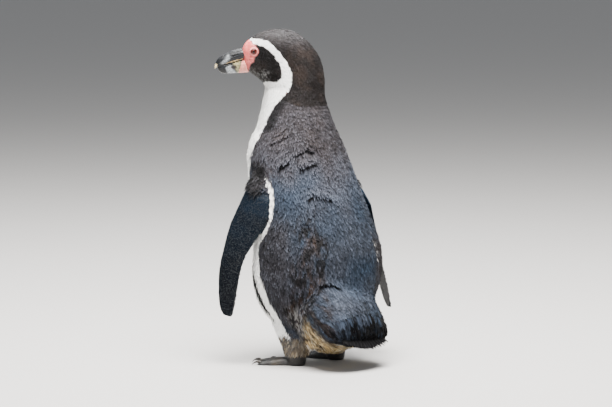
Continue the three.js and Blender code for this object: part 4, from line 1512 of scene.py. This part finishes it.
# %% Size and lift of each feather
stretch = np.clip(dice.normal(1, 0.13, count), 0.6, 1.4)
lift = np.clip(dice.normal(1, 0.16, count), 0.5, 1.6)
lifted, pressed = partings(point_here)
ledge = between(level_here, HOOD_EDGE + 0.5, 0.8, HOOD_EDGE + 12, 4)
seam = np.clip(2 * (weight_here["flipper_left"] + weight_here["flipper_right"]), 0, 1) * ~on_flipper
seam *= 1 - inside(level_here, 250, 8)
near_bare = 1 - smoothstep(np.linalg.norm(point_here - BILL_ROOT, axis=1), 18 * MM, 46 * MM)
length = SIZES[kind_here, 1] * MM * stretch * (1 + 0.5 * ruffle)
length *= (1 - 0.35 * seam) * (1 - 0.25 * near_bare)
width = SIZES[kind_here, 2] * MM * np.sqrt(stretch)
height = SIZES[kind_here, 3] * MM * lift * (1 + 0.4 * ruffle)
height *= (1 + 0.75 * lifted + 0.4 * ledge) * (1 - 0.7 * pressed) * (1 - 0.5 * seam)
height *= 1 - 0.4 * near_bare * (weight_here["head"] > 0.4)
print("mean length", (length.mean() / MM).round(2), "mm, mean lift", (height.mean() / MM).round(2), "mm")

# %% Marks that each feather shows
def seen_marks():
    """A feather shows the marks of the place its tip covers."""
    seen = markings(point_here + way * (length * 0.8)[:, None])
    seen = limb_marks(seen, point_here, normal_here, weight_here)
    ragged_side = side_here + 4 * noise(point_here, 5, 48)
    shoulder = between(ragged_side, 78, 4, 109, 4) * between(level_here, 250, 5, 303, 8)
    shoulder *= np.clip(0.9 + 0.8 * noise(streaks_here, 3, 47), 0, 1)
    for key in ("blue", "dark"):
        seen[key] *= 1 - ruffle * inside(level_here, 256, 4)
    shadow = np.maximum(0.93 * shoulder, 0.9 * pressed) * (seen["white"] < 0.5)
    seen["black"] = np.maximum(seen["black"], shadow)
    return seen


seen_mark = seen_marks()
print({name: round(float(mask.mean()), 3) for name, mask in seen_mark.items()})

# %% Grow the coat, piece by piece
TWIST = 0.12
COAT = [
    ("coat_face", "feathers_hood", "face", SMALL_VANE, coat_material, 0.07),
    ("coat_hood", "feathers_hood", "hood", BODY_VANE, coat_material, 0.07),
    ("coat_neck", "feathers_mantle", "neck", BODY_VANE, coat_material, 0.07),
    ("coat_mantle", "feathers_mantle", "mantle", BODY_VANE, coat_material, 0.08),
    ("coat_back", "feathers_mantle", "back", BODY_VANE, coat_material, 0.08),
    ("coat_belly", "feathers_white", "belly", BODY_VANE, coat_material, 0.07),
    ("coat_vent", "feathers_vent", "vent", FLUFF_VANE, coat_material, 0.14),
    ("coat_legs", "feathers_vent", "leg", BODY_VANE, coat_material, 0.1),
    ("coat_tail", "feathers_tail", "tail", LONG_VANE, tail_material, 0.1),
]  # piece, slot, kind of feather, vane, material, fray


def grow_piece(name, members, vane, material, fray, side=None):
    roots = point_here[members]
    corners = lay_vanes(roots, normal_here[members], way[members], length[members],
                        width[members], height[members], vane, fray, twist[members] * TWIST)
    flat = blade_unwrap(roots, normal_here[members], side) if side else body_unwrap(roots)
    values = {key: seen_mark[key][members] for key in MASKS}
    values["tone"] = tone[members]
    mesh = mesh_from_vanes(name, corners, vane, flat, values)
    own_piece(name, mesh, material)
    print(name, len(members), "feathers,", len(mesh.polygons) * 2, "triangles")


for name, slot, kind, vane, material, fray in COAT:
    grow_piece(name, np.flatnonzero(of_kind(kind)), vane, material, fray)
for side in SIDES:
    members = np.flatnonzero(on_flipper & (weight_here[f"flipper_{side}"] > 0.25))
    grow_piece(f"coat_flipper_{side}", members, SMALL_VANE, flipper_material, 0.04, side)

# %% [markdown]
# ## Tail quills
# Under the blue-grey coverts the tail is a fan of stiff narrow blackish feathers, frayed at their
# tips because the bird props itself on them. Each is a long cambered strip with a raised shaft,
# split at its end into barbs of uneven length.

# %% Corner places of the tail quills
QUILLS = 14
QUILL_ROWS = 12
QUILL_RAILS = 9
QUILL_LAYERS = 2
QUILL_WIDTH = 9.5  # mm
QUILL_START = 0.28  # share of the tail's length
FAN_WIDTH = 47.0  # mm from the tail's middle to the tip of its outermost quill
FAN_ARC = 11.0  # mm that the outermost quill is shorter
SPLIT = 6.5  # mm that the barbs part at a tip


def quill_corners(layer):
    """Corner places of every quill in one layer: quills x rows x rails x 3."""
    along = np.linspace(0, 1, QUILL_ROWS)[None, :, None]
    rail = np.linspace(-1, 1, QUILL_RAILS)[None, None, :]
    side = np.linspace(-1, 1, QUILLS)[:, None, None] * (1 - 0.04 * layer)
    start = QUILL_START * TAIL_LENGTH / MM
    end = TAIL_LENGTH / MM - FAN_ARC * side ** 2 - 1.5 - 3.0 * layer
    split = dice.uniform(0, 1, (QUILLS, 1, QUILL_RAILS)) * SPLIT * smoothstep(along, 0.8, 1)
    reach = start + (end - start) * along - split
    spread = side * (0.5 + 0.5 * along) * FAN_WIDTH
    breadth = QUILL_WIDTH / 2 * (0.55 + 0.45 * smoothstep(along, 0, 0.4))
    breadth = breadth * (1 - 0.35 * smoothstep(along, 0.88, 1))
    rise = 11 * (1 - along) ** 1.5 + 1.4 - 2.6 * layer
    rise = rise + 0.5 * np.cos(side * 44) - 3.0 * side ** 2 * (1 - along)
    camber = -0.55 * rail ** 2 + 0.35 * np.exp(-(rail / 0.14) ** 2)
    tilt = 0.35 * rail * np.where(side > 0, -1, 1)
    barb = dice.normal(0, 0.3, (QUILLS, 1, QUILL_RAILS)) * smoothstep(along, 0.75, 1)
    back, across, above = np.broadcast_arrays(reach, spread + rail * breadth, rise + camber + tilt + barb)
    place = back[..., None] * tail_back + across[..., None] * tail_across + above[..., None] * tail_above
    return tail_root + MM * place


quills = np.concatenate([quill_corners(layer) for layer in range(QUILL_LAYERS)])
print(len(quills), "quills")

# %% Spread the tail quills
def quill_faces(count):
    faces = []
    for quill in range(count):
        for row in range(QUILL_ROWS - 1):
            for rail in range(QUILL_RAILS - 1):
                a = (quill * QUILL_ROWS + row) * QUILL_RAILS + rail
                faces.append([a, a + 1, a + 1 + QUILL_RAILS, a + QUILL_RAILS])
    return faces


def tail_quills():
    count = len(quills)
    points = quills.reshape(-1, 3)
    faces = quill_faces(count)
    mesh = bpy.data.meshes.new("tail_quills")
    mesh.from_pydata(points.tolist(), [], faces)
    size = (count, QUILL_ROWS, QUILL_RAILS)
    along = np.broadcast_to(np.linspace(0.75, 1, QUILL_ROWS)[None, :, None], size).ravel()
    across = np.broadcast_to(np.linspace(0, 1, QUILL_RAILS)[None, None, :], size).ravel()
    shade = np.clip(dice.normal(0.45, 0.2, count), 0, 1)
    masks = {key: np.zeros(len(points)) for key in MASKS}
    masks["black"] += 0.98
    masks["tone"] = np.repeat(shade, QUILL_ROWS * QUILL_RAILS)
    set_floats(mesh, {**masks, "along": along, "across": across})
    flat = mesh.uv_layers.new(name="OFBake")
    root = np.repeat(body_unwrap(quills[:, 0, QUILL_RAILS // 2]), QUILL_ROWS * QUILL_RAILS, axis=0)
    place = root + np.stack([(across - 0.5) * PATCH, (along - 0.875) * 4 * PATCH], 1)
    flat.data.foreach_set("uv", place[np.array(faces).ravel()].astype(np.float32).ravel())
    own_piece("tail_quills", mesh, tail_material)
    print(count, "quills,", len(faces) * 2, "triangles")


tail_quills()

# %% [markdown]
# ## Bare skin and feet
# The bare face is pink, finely creased skin; the feet are covered in small dark scutes. Both are
# the same skin mesh, and one node group paints them, so the finish runs on without a seam where
# feathers thin out.

# %% The leather group
SKIN_COLOURS = {
    "pink": linear(214, 106, 100),
    "flushed pink": linear(182, 74, 72),
    "pale ring": linear(232, 146, 136),
    "lid rim and crease shade": linear(78, 30, 27),
    "foot black": linear(8, 7, 7),
    "foot grey": linear(18, 15, 13),
    "foot brown": linear(40, 32, 21),
    "foot olive": linear(52, 42, 29),
    "between scutes": linear(14, 12, 11),
}
SCUTES = 330.0  # scutes to a metre
CREASES = 620.0  # creases to a metre


def cells(w, place, scale, width):
    """0 on the lines between cells, 1 inside them."""
    pattern = w.add("ShaderNodeTexVoronoi", feature="DISTANCE_TO_EDGE")
    pattern.inputs["Scale"].default_value = scale
    w.join(place, pattern.inputs["Vector"])
    return w.ramp(pattern.outputs["Distance"], 0.0, width)


def pink_skin(w, given, place):
    flush = w.ramp(w.noise(160.0, 3.0, place), 0.3, 0.7)
    pink = w.mix(flush, SKIN_COLOURS["pink"], SKIN_COLOURS["flushed pink"])
    pink = w.mix(w.math("MULTIPLY", given["ring"], 0.7), pink, SKIN_COLOURS["pale ring"])
    # the rim mask carries both the dark lid rim and painted shade in the lid's creases
    return w.mix(given["rim"], pink, SKIN_COLOURS["lid rim and crease shade"])


def foot_skin(w, place, scutes):
    blotch = w.ramp(w.noise(42.0, 4.0, place), 0.54, 0.66)
    muddy = w.ramp(w.noise(110.0, 2.0, place), 0.35, 0.65)
    olive = w.mix(muddy, SKIN_COLOURS["foot brown"], SKIN_COLOURS["foot olive"])
    dusty = w.ramp(w.noise(130.0, 3.0, place), 0.3, 0.7)
    black = w.mix(dusty, SKIN_COLOURS["foot black"], SKIN_COLOURS["foot grey"])
    foot = w.mix(blotch, black, olive)
    return w.mix(w.ramp(scutes, 0.0, 1.0, 0.55, 0.0), foot, SKIN_COLOURS["between scutes"])


def leather_group():
    """Pink bare skin with a paler ring round the eye, and dark scaly foot skin."""
    inputs = {"foot": 0.0, "ring": 0.0, "rim": 0.0}
    tree, w, given, out = new_group("leather", inputs, ("Color", "Roughness", "Height"))
    place = w.place()
    scutes = cells(w, place, SCUTES, 0.16)
    creases = w.math("MULTIPLY", cells(w, place, CREASES, 0.25), 0.35)
    w.join(w.mix(given["foot"], pink_skin(w, given, place), foot_skin(w, place, scutes)), out["Color"])
    height = w.add("ShaderNodeMix", data_type="FLOAT")
    for socket, value in zip((height.inputs[0], height.inputs[2], height.inputs[3]),
                             (given["foot"], creases, scutes)):
        w.put(socket, value)
    w.join(height.outputs[0], out["Height"])
    w.join(w.ramp(w.noise(240.0, 2.0, place), 0.3, 0.7, 0.4, 0.58), out["Roughness"])
    return tree


leather = leather_group()
print("the leather group has", len(leather.nodes), "nodes")

# %% Finish the skin
SKIN_RELIEF = 0.4 * MM
SKIN_GLOW = (0.004, 0.0015, 0.001)  # red light spreads furthest in skin, blue least


def skin_material():
    """Plumage under the coat, leather where the skin is bare."""
    material, w, shader = new_material("skin")
    coat = w.add("ShaderNodeGroup", node_tree=plumage)
    for key in MASKS:
        w.join(w.attribute(key), coat.inputs[key])
    coat.inputs["along"].default_value = 0.5
    hide = w.add("ShaderNodeGroup", node_tree=leather)
    for key in ("foot", "ring", "rim"):
        w.join(w.attribute(key), hide.inputs[key])
    naked = w.math("MAXIMUM", w.attribute("bare"), w.attribute("foot"))
    w.join(w.mix(naked, coat.outputs["Color"], hide.outputs["Color"]), shader.inputs["Base Color"])
    w.join(hide.outputs["Roughness"], shader.inputs["Roughness"])
    add_relief(w, w.math("MULTIPLY", hide.outputs["Height"], naked), 0.6, SKIN_RELIEF, shader)
    shader.inputs["Subsurface Weight"].default_value = 0.08
    shader.inputs["Subsurface Radius"].default_value = SKIN_GLOW
    return material


bare = bare_amount(skin_points) * (part_weight["head"] > 0.5)
set_floats(skin_mesh, {**marks, "bare": bare, "foot": np.clip(foot_weight * 1.4 - 0.2, 0, 1)})
skin_surface = skin_material()
skin = own_piece("skin", skin_mesh, skin_surface)
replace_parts(skin, *FLESH)
print(len(skin_points), "points of skin,", int((bare > 0.5).sum()), "of them bare")

# %% [markdown]
# ## Bill
# The bill is bone under a thin sheath of horn in plates, with a nostril slit, a groove that runs
# on from it and fine furrows across towards the hooked tip. It could be sculpted from a cube.
# Here each solid of the bill is remeshed finely, so that the relief is cut into real surface, and
# the plates' colours are kept as masks on its points.

# %% Remesh the bill finely
HORN_VOXEL = 0.5 * MM


def fine_copy(name, new_name):
    """A finely remeshed, smoothed copy of one solid."""
    mesh = nodes[name].data.copy()
    rough = bpy.data.objects.new(new_name, mesh)
    bpy.context.scene.collection.objects.link(rough)
    remesh = rough.modifiers.new("fine", "REMESH")
    remesh.mode = "VOXEL"
    remesh.voxel_size = HORN_VOXEL
    bpy.context.view_layer.update()
    fine = bpy.data.meshes.new_from_object(rough.evaluated_get(bpy.context.evaluated_depsgraph_get()))
    bpy.data.objects.remove(rough)
    fine.name = new_name
    points = calm_surface(mesh_points(fine), mesh_edges(fine), 0.5, 14)
    return fine, points


fine_bill = {half: fine_copy(half, f"{half}_horn") for half in ("bill_upper", "bill_lower")}
print({half: len(points) for half, (_, points) in fine_bill.items()}, "points")

# %% Relief of the horn
NOSTRIL = [(83.5, 452.3), (91.5, 449.6)]
NOSTRIL_GROOVE = [(91, 449.8), (99, 445.6), (104, 442)]
RIDGE_SEAM = ([66, 80, 96], [462, 459.5, 454])  # ahead, level
SIDE_SEAMS = [(79.4, 0.25, 436, 0.35), (93.5, 0.3, 433, 0.3)]  # ahead, slant, at this level, depth


def along_side(ahead, level, path):
    """Distance in mm on the bill's side from a path given as ahead and level."""
    return from_path(np.stack([ahead, level], 1), np.array(path, float))


def groove(gap, width):
    """1 in the middle of a groove, falling off smoothly beside it."""
    return np.exp(-(gap / width) ** 2)


def horn_relief(points, upper):
    """How far the horn is raised or cut at each point, in mm."""
    ahead, _, level = head_coordinates(points)
    rough = noise(points, 2.5, 31)
    furrow = np.sin(ahead * 2.9 + 0.9 * rough + 0.25 * level) * 0.07
    raised = furrow * smoothstep(ahead, 88, 100) * (1 - smoothstep(ahead, 110, 114))
    raised += 0.05 * noise(points, 3.0, 32) + 0.04 * noise(points, 1.3, 33)
    if upper:
        slit = along_side(ahead, level, NOSTRIL)
        raised += 0.3 * groove(slit, 2.2) - 1.3 * groove(slit, 0.75)
        raised -= 0.4 * groove(along_side(ahead, level, NOSTRIL_GROOVE), 0.7)
        above_seam = level - np.interp(ahead, *RIDGE_SEAM) + 2
        raised -= 0.35 * groove(above_seam, 0.5) * (1 - smoothstep(ahead, 84, 92))
    else:
        for start, slant, middle, deep in SIDE_SEAMS:
            raised -= deep * groove(ahead - start + slant * (level - middle), 0.45)
    return raised


print("nostril", round(math.dist(*NOSTRIL), 1), "mm long")

# %% Colours of the horn's plates
MOUTH_LINE = [(66, 445.6), (84, 442.0), (96, 438.6), (104, 435.4), (112, 431)]
PALE_BAR = [(97.5, 449.5), (101, 443.5), (105.5, 438.5)]
HORN_MASKS = ("pale", "edge", "tip", "flesh", "plate", "spot")


def horn_masks(points, upper):
    """Where each colour of the horn lies, 0 to 1."""
    ahead, _, level = head_coordinates(points)
    ahead = ahead + 0.5 * noise(points, 3, 34)
    level = level + 0.4 * noise(points, 2.2, 35)
    mouth = np.interp(ahead, *np.array(MOUTH_LINE).T)
    masks = {name: np.zeros(len(points)) for name in HORN_MASKS}
    if upper:
        bar = along_side(ahead, level, PALE_BAR) + 1.1 * noise(points, 5, 36) + 0.9 * noise(points, 2, 38)
        masks["pale"] = 0.42 * (1 - smoothstep(bar, 0.0, 5.4))
        masks["edge"] = (1 - smoothstep(level - mouth, 2.3, 3.5)) * (1 - smoothstep(ahead, 103, 108))
        masks["tip"] = smoothstep(ahead, 113.4, 115.4) * (1 - smoothstep(level, 436, 440))
        masks["flesh"] = (1 - smoothstep(ahead, 67, 69.5)) * (1 - smoothstep(level, 449, 452))
    else:
        masks["flesh"] = 1 - smoothstep(ahead + 0.25 * (level - 436), 78.4, 80.4)
        slant = ahead - 0.35 * (level - 434) + 1.5 * noise(points, 6, 37)
        masks["plate"] = 0.9 * smoothstep(ahead, 78.2, 80.6) * (1 - smoothstep(slant, 85.5, 90))
        spot = np.hypot((ahead - 89.5) / 5.2, (level - 434) / 3.6)
        masks["spot"] = 0.95 * (1 - smoothstep(spot, 0.55, 1.15))
        low = 1 - smoothstep(level - mouth, -4.5, -1.5)
        masks["pale"] = 0.62 * smoothstep(slant, 87, 93) * (1 - smoothstep(slant, 99.5, 104)) * low
    return masks


print("the mouth line has", len(MOUTH_LINE), "bends")

# %% Finish of the horn
HORN_COLOURS = {
    "edge": (linear(176, 146, 104), linear(206, 184, 142)),
    "plate": (linear(112, 104, 70), linear(168, 160, 122)),
    "flesh": (linear(206, 118, 106), linear(226, 156, 142)),
}  # dark and light streaks
HORN_BLACK = (linear(4, 5, 6), linear(16, 19, 23))
HORN_PALE = linear(196, 202, 206)
HORN_SPOT = linear(22, 14, 12)
HORN_TIP = linear(216, 200, 158)


def horn_material():
    material, w, shader = new_material("bill_horn")
    place = w.place()
    streak = w.noise(420.0, 4.0, place, 0.6)
    light = w.ramp(streak, 0.3, 0.7)
    colour = w.mix(w.ramp(streak, 0.35, 0.7), *HORN_BLACK)
    for key in ("edge", "plate"):
        colour = w.mix(w.attribute(key), colour, w.mix(light, *HORN_COLOURS[key]))
    broken = w.math("MULTIPLY", w.attribute("pale"), w.ramp(streak, 0.3, 0.62, 0.5, 1.0))
    colour = w.mix(broken, colour, HORN_PALE)
    colour = w.mix(w.attribute("spot"), colour, HORN_SPOT)
    colour = w.mix(w.attribute("flesh"), colour, w.mix(light, *HORN_COLOURS["flesh"]))
    colour = w.mix(w.attribute("tip"), colour, HORN_TIP)
    w.join(colour, shader.inputs["Base Color"])
    w.join(w.ramp(w.noise(700.0, 3.0, place), 0.3, 0.7, 0.34, 0.5), shader.inputs["Roughness"])
    add_relief(w, streak, 0.35, 0.2 * MM, shader)
    shader.inputs["Specular IOR Level"].default_value = 0.35
    shader.inputs["Coat Weight"].default_value = 0.1
    shader.inputs["Coat Roughness"].default_value = 0.2
    return material


horn = horn_material()
print("horn has", len(HORN_MASKS), "masks")

# %% Carve and colour the bill
for half, (fine, points) in fine_bill.items():
    upper = half == "bill_upper"
    normals = point_normals(points, fine)
    masks = horn_masks(points, upper)
    carved = points + normals * (horn_relief(points, upper) * MM)[:, None]
    point_normals(carved, fine)
    set_floats(fine, masks)
    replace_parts(own_piece(f"{half}_horn", fine, horn), half)
    print(half, len(fine.polygons) * 2, "triangles")

# %% [markdown]
# ## Eyes and lids
# A penguin's eye is nearly round, with a dark red-brown iris that is hard to tell from its pupil.
# The lids are a thin pleated rim in a ring of paler bare skin. Each eye is a fine ball whose points
# carry the iris and the pupil as masks; each pair of lids is a set of rings laid on the skin's
# height round the eye, raised and grooved by a profile, with its outer edge sunk in the skin.

# %% Eyeballs
IRIS_RADIUS = 3.9  # mm
PUPIL_RADIUS = 1.75
CORNEA_RISE = 0.35
EYE_COLOURS = {
    "round the iris": linear(26, 16, 14),
    "iris": linear(52, 16, 14),
    "iris fibres": linear(84, 34, 26),
    "pupil": linear(4, 4, 5),
}


def eye_material():
    material, w, shader = new_material("eye")
    fibres = w.ramp(w.noise(1500.0, 3.0, w.place()), 0.35, 0.65)
    iris = w.mix(fibres, EYE_COLOURS["iris"], EYE_COLOURS["iris fibres"])
    colour = w.mix(w.attribute("iris"), EYE_COLOURS["round the iris"], iris)
    w.join(w.mix(w.attribute("pupil"), colour, EYE_COLOURS["pupil"]), shader.inputs["Base Color"])
    shader.inputs["Roughness"].default_value = 0.12
    shader.inputs["Specular IOR Level"].default_value = 0.2
    shader.inputs["Coat Weight"].default_value = 0.12
    shader.inputs["Coat Roughness"].default_value = 0.03
    return material


def eyeball(side):
    centre, out = eye_frame(side)
    build = bmesh.new()
    bmesh.ops.create_uvsphere(build, u_segments=72, v_segments=48, radius=EYE_RADIUS * MM)
    mesh = bpy.data.meshes.new(f"eyeball_{side}")
    build.to_mesh(mesh)
    build.free()
    ball = mesh_points(mesh) / MM
    beside = np.hypot(ball[:, 0], ball[:, 1])
    front = ball[:, 2] > 0
    cornea = CORNEA_RISE * (1 - smoothstep(beside, 0.5, IRIS_RADIUS)) * front
    turned = np.outer(ball[:, 0], head_ahead) + np.outer(ball[:, 1], head_up)
    points = centre + (turned + np.outer(ball[:, 2] + cornea, out)) * MM
    point_normals(points, mesh)
    if side == "left":
        mesh.flip_normals()
    set_floats(mesh, {
        "iris": (1 - smoothstep(beside, IRIS_RADIUS - 0.4, IRIS_RADIUS)) * front,
        "pupil": (1 - smoothstep(beside, PUPIL_RADIUS - 0.15, PUPIL_RADIUS + 0.15)) * front,
    })
    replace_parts(own_piece(f"eyeball_{side}", mesh, eye_surface), f"eye_{side}")


eye_surface = eye_material()
for side in SIDES:
    eyeball(side)
print(len(SIDES), "eyeballs")

# %% Lids and the ring of bare skin
LID_PROFILE = [(2.6, -1.6), (3.1, -0.9), (3.4, -0.1), (3.55, 0.3), (3.75, 0.52), (3.95, 0.55), (4.15, 0.45),
               (4.35, 0.25), (4.6, 0.12), (4.85, 0.26), (5.15, 0.46), (5.45, 0.5), (5.75, 0.38), (6.05, 0.2),
               (6.35, 0.12), (6.75, 0.1), (7.2, 0.0), (7.6, -0.4)]  # from the eye's axis, height in mm


LID_EDGE = 4.1  # mm: inside this the lid lies on the eyeball
SKIN_BLEND = 0.9  # mm over which the lid passes from eyeball to skin


def lid_height(side, reach):
    """How far out the lids stand from the eye's middle, in mm."""
    ball = np.sqrt(np.maximum(EYE_RADIUS ** 2 - reach ** 2, 0))
    base = lid_base[side]
    blend = np.clip(0.5 + 0.5 * (base - ball) / SKIN_BLEND, 0, 1)
    base = base * blend + ball * (1 - blend) + SKIN_BLEND * blend * (1 - blend)
    base = np.where(reach < LID_EDGE, ball, base)
    raised = np.interp(LID_RINGS, *np.array(LID_PROFILE).T)[:, None]
    pleats = 0.07 * np.sin(30 * lid_turn + 1.3 * np.sin(3 * lid_turn)) * groove(reach - LID_EDGE, 0.5)
    folds = 0.12 * np.sin(11 * lid_turn + 2 * np.sin(2 * lid_turn)) * groove(reach - 6.3, 0.7)
    return base + raised + pleats + folds


def ring_faces(rings, segments, outwards):
    """Quads between rings of corners, turned to face outwards."""
    faces = []
    for row in range(rings - 1):
        for i in range(segments):
            a = row * segments + i
            b = row * segments + (i + 1) % segments
            quad = [a, b, b + segments, a + segments]
            faces.append(quad if outwards else quad[::-1])
    return faces


def lids(side):
    centre, out = eye_frame(side)
    reach = LID_RINGS[:, None] * np.ones(LID_SEGMENTS)
    height = lid_height(side, reach)
    place = lid_ahead[..., None] * head_ahead + lid_up[..., None] * head_up + height[..., None] * out
    points = centre + place * MM
    mesh = bpy.data.meshes.new(f"lids_{side}")
    faces = ring_faces(len(LID_RINGS), LID_SEGMENTS, side == "left")
    mesh.from_pydata(points.reshape(-1, 3).tolist(), [], faces)
    rim = 1 - smoothstep(reach, 3.8, 4.7)
    # painted shade: the creases of the lids take the dark rim colour
    painted_crease_shade = groove(reach - 4.6, 0.22) + 0.7 * groove(reach - 6.4, 0.3)
    set_floats(mesh, {
        "bare": np.ones(reach.size),
        "ring": groove(reach - 5.5, 0.75).ravel(),
        "rim": np.maximum(rim, 0.6 * painted_crease_shade).ravel(),
    })
    own_piece(f"lids_{side}", mesh, skin_surface)
    print(mesh.name, len(faces) * 2, "triangles")


for side in SIDES:
    lids(side)

# %% [markdown]
# ## Fold at the corner of the mouth
# The soft pink skin behind the bill folds where the mouth opens. A tapered roll half sunk in the
# skin is enough for that, because its upper side catches the light and its lower side shades.

# %% Roll the folds
GAPE_FOLDS = {"gape": [(67.5, 446.4, 0.9), (65, 446.9, 1.3), (62.5, 447.3, 1.1), (60.4, 447.2, 0.4)],
              "gape_low": [(67.5, 442.6, 0.6), (65.4, 442.2, 0.9), (63.4, 440.8, 0.3)],
              "brow": [(66.5, 463.2, 0.3), (62.5, 466.2, 0.8), (58.0, 467.2, 0.7),
                       (55.0, 465.8, 0.3)]}  # ahead, level, radius
ROLL_SIDES = 12
ROLL_STEPS = 26
ROLL_SUNK = 0.45  # share of its radius that a roll is sunk in the skin


def on_side_of_head(side, ahead, level):
    """Places on the skin's side, straight out from the head's middle."""
    out = eye_frame(side)[1]
    line = []
    for a, z in zip(ahead, level):
        start = neck_axis + head_ahead * a * MM + out * 40 * MM
        start[2] = z * MM
        line.append(np.array(whole_tree.ray_cast(Vector(start), Vector(-out))[0]))
    return np.array(line)


def turn_outwards(mesh):
    build = bmesh.new()
    build.from_mesh(mesh)
    bmesh.ops.recalc_face_normals(build, faces=build.faces)
    build.to_mesh(mesh)
    build.free()


def skin_roll(name, side, places):
    """A tapered roll along places given as ahead, level and radius in mm."""
    ahead, level, radius = np.array(places).T
    steps = np.linspace(0, len(places) - 1, ROLL_STEPS)
    index = np.arange(len(places))
    ahead, level, radius = (np.interp(steps, index, v) for v in (ahead, level, radius))
    radius = radius * np.sqrt(np.clip(np.minimum(steps, steps[-1] - steps) / 0.5, 0.02, 1))
    out = eye_frame(side)[1]
    line = on_side_of_head(side, ahead, level) - np.outer(radius * ROLL_SUNK, out) * MM
    along = unit(np.gradient(line, axis=0))
    beside = unit(np.cross(along, out))
    turn = np.linspace(0, 2 * math.pi, ROLL_SIDES, endpoint=False)[None, :, None]
    ring = np.cos(turn) * beside[:, None] + np.sin(turn) * np.cross(beside, along)[:, None]
    points = (line[:, None] + ring * radius[:, None, None] * MM).reshape(-1, 3)
    mesh = bpy.data.meshes.new(name)
    mesh.from_pydata(points.tolist(), [], ring_faces(len(line), ROLL_SIDES, True))
    turn_outwards(mesh)
    set_floats(mesh, {
        "bare": np.ones(len(points)),
        "ring": np.full(len(points), 0.2),
        "rim": np.zeros(len(points)),
    })
    own_piece(name, mesh, skin_surface)


for side in SIDES:
    for fold, places in GAPE_FOLDS.items():
        skin_roll(f"fold_{fold}_{side}", side, places)
print(len(GAPE_FOLDS) * len(SIDES), "folds")

# %% [markdown]
# ## Claws
# Claws are solid black horn with a faint grain along them. The packed shapes are right, so they
# stay and only get this finish.

# %% Finish the claws
CLAW_COLOURS = (linear(20, 17, 15), linear(58, 48, 40))  # dark and light grain


def claw_material():
    material, w, shader = new_material("claw_horn")
    grain = w.noise(260.0, 4.0, w.place(), 1.2)
    w.join(w.mix(w.ramp(grain, 0.35, 0.75), *CLAW_COLOURS), shader.inputs["Base Color"])
    w.join(w.ramp(grain, 0.3, 0.7, 0.32, 0.5), shader.inputs["Roughness"])
    add_relief(w, grain, 0.3, 0.2 * MM, shader)
    return material


claw = claw_material()
claws = [name for name in nodes if name.startswith("claw")]
for name in claws:
    nodes[name].data.materials.clear()
    nodes[name].data.materials.append(claw)
print(len(claws), "claws")

# %% [markdown] The coat should end where the solids do, because other objects are placed by those.
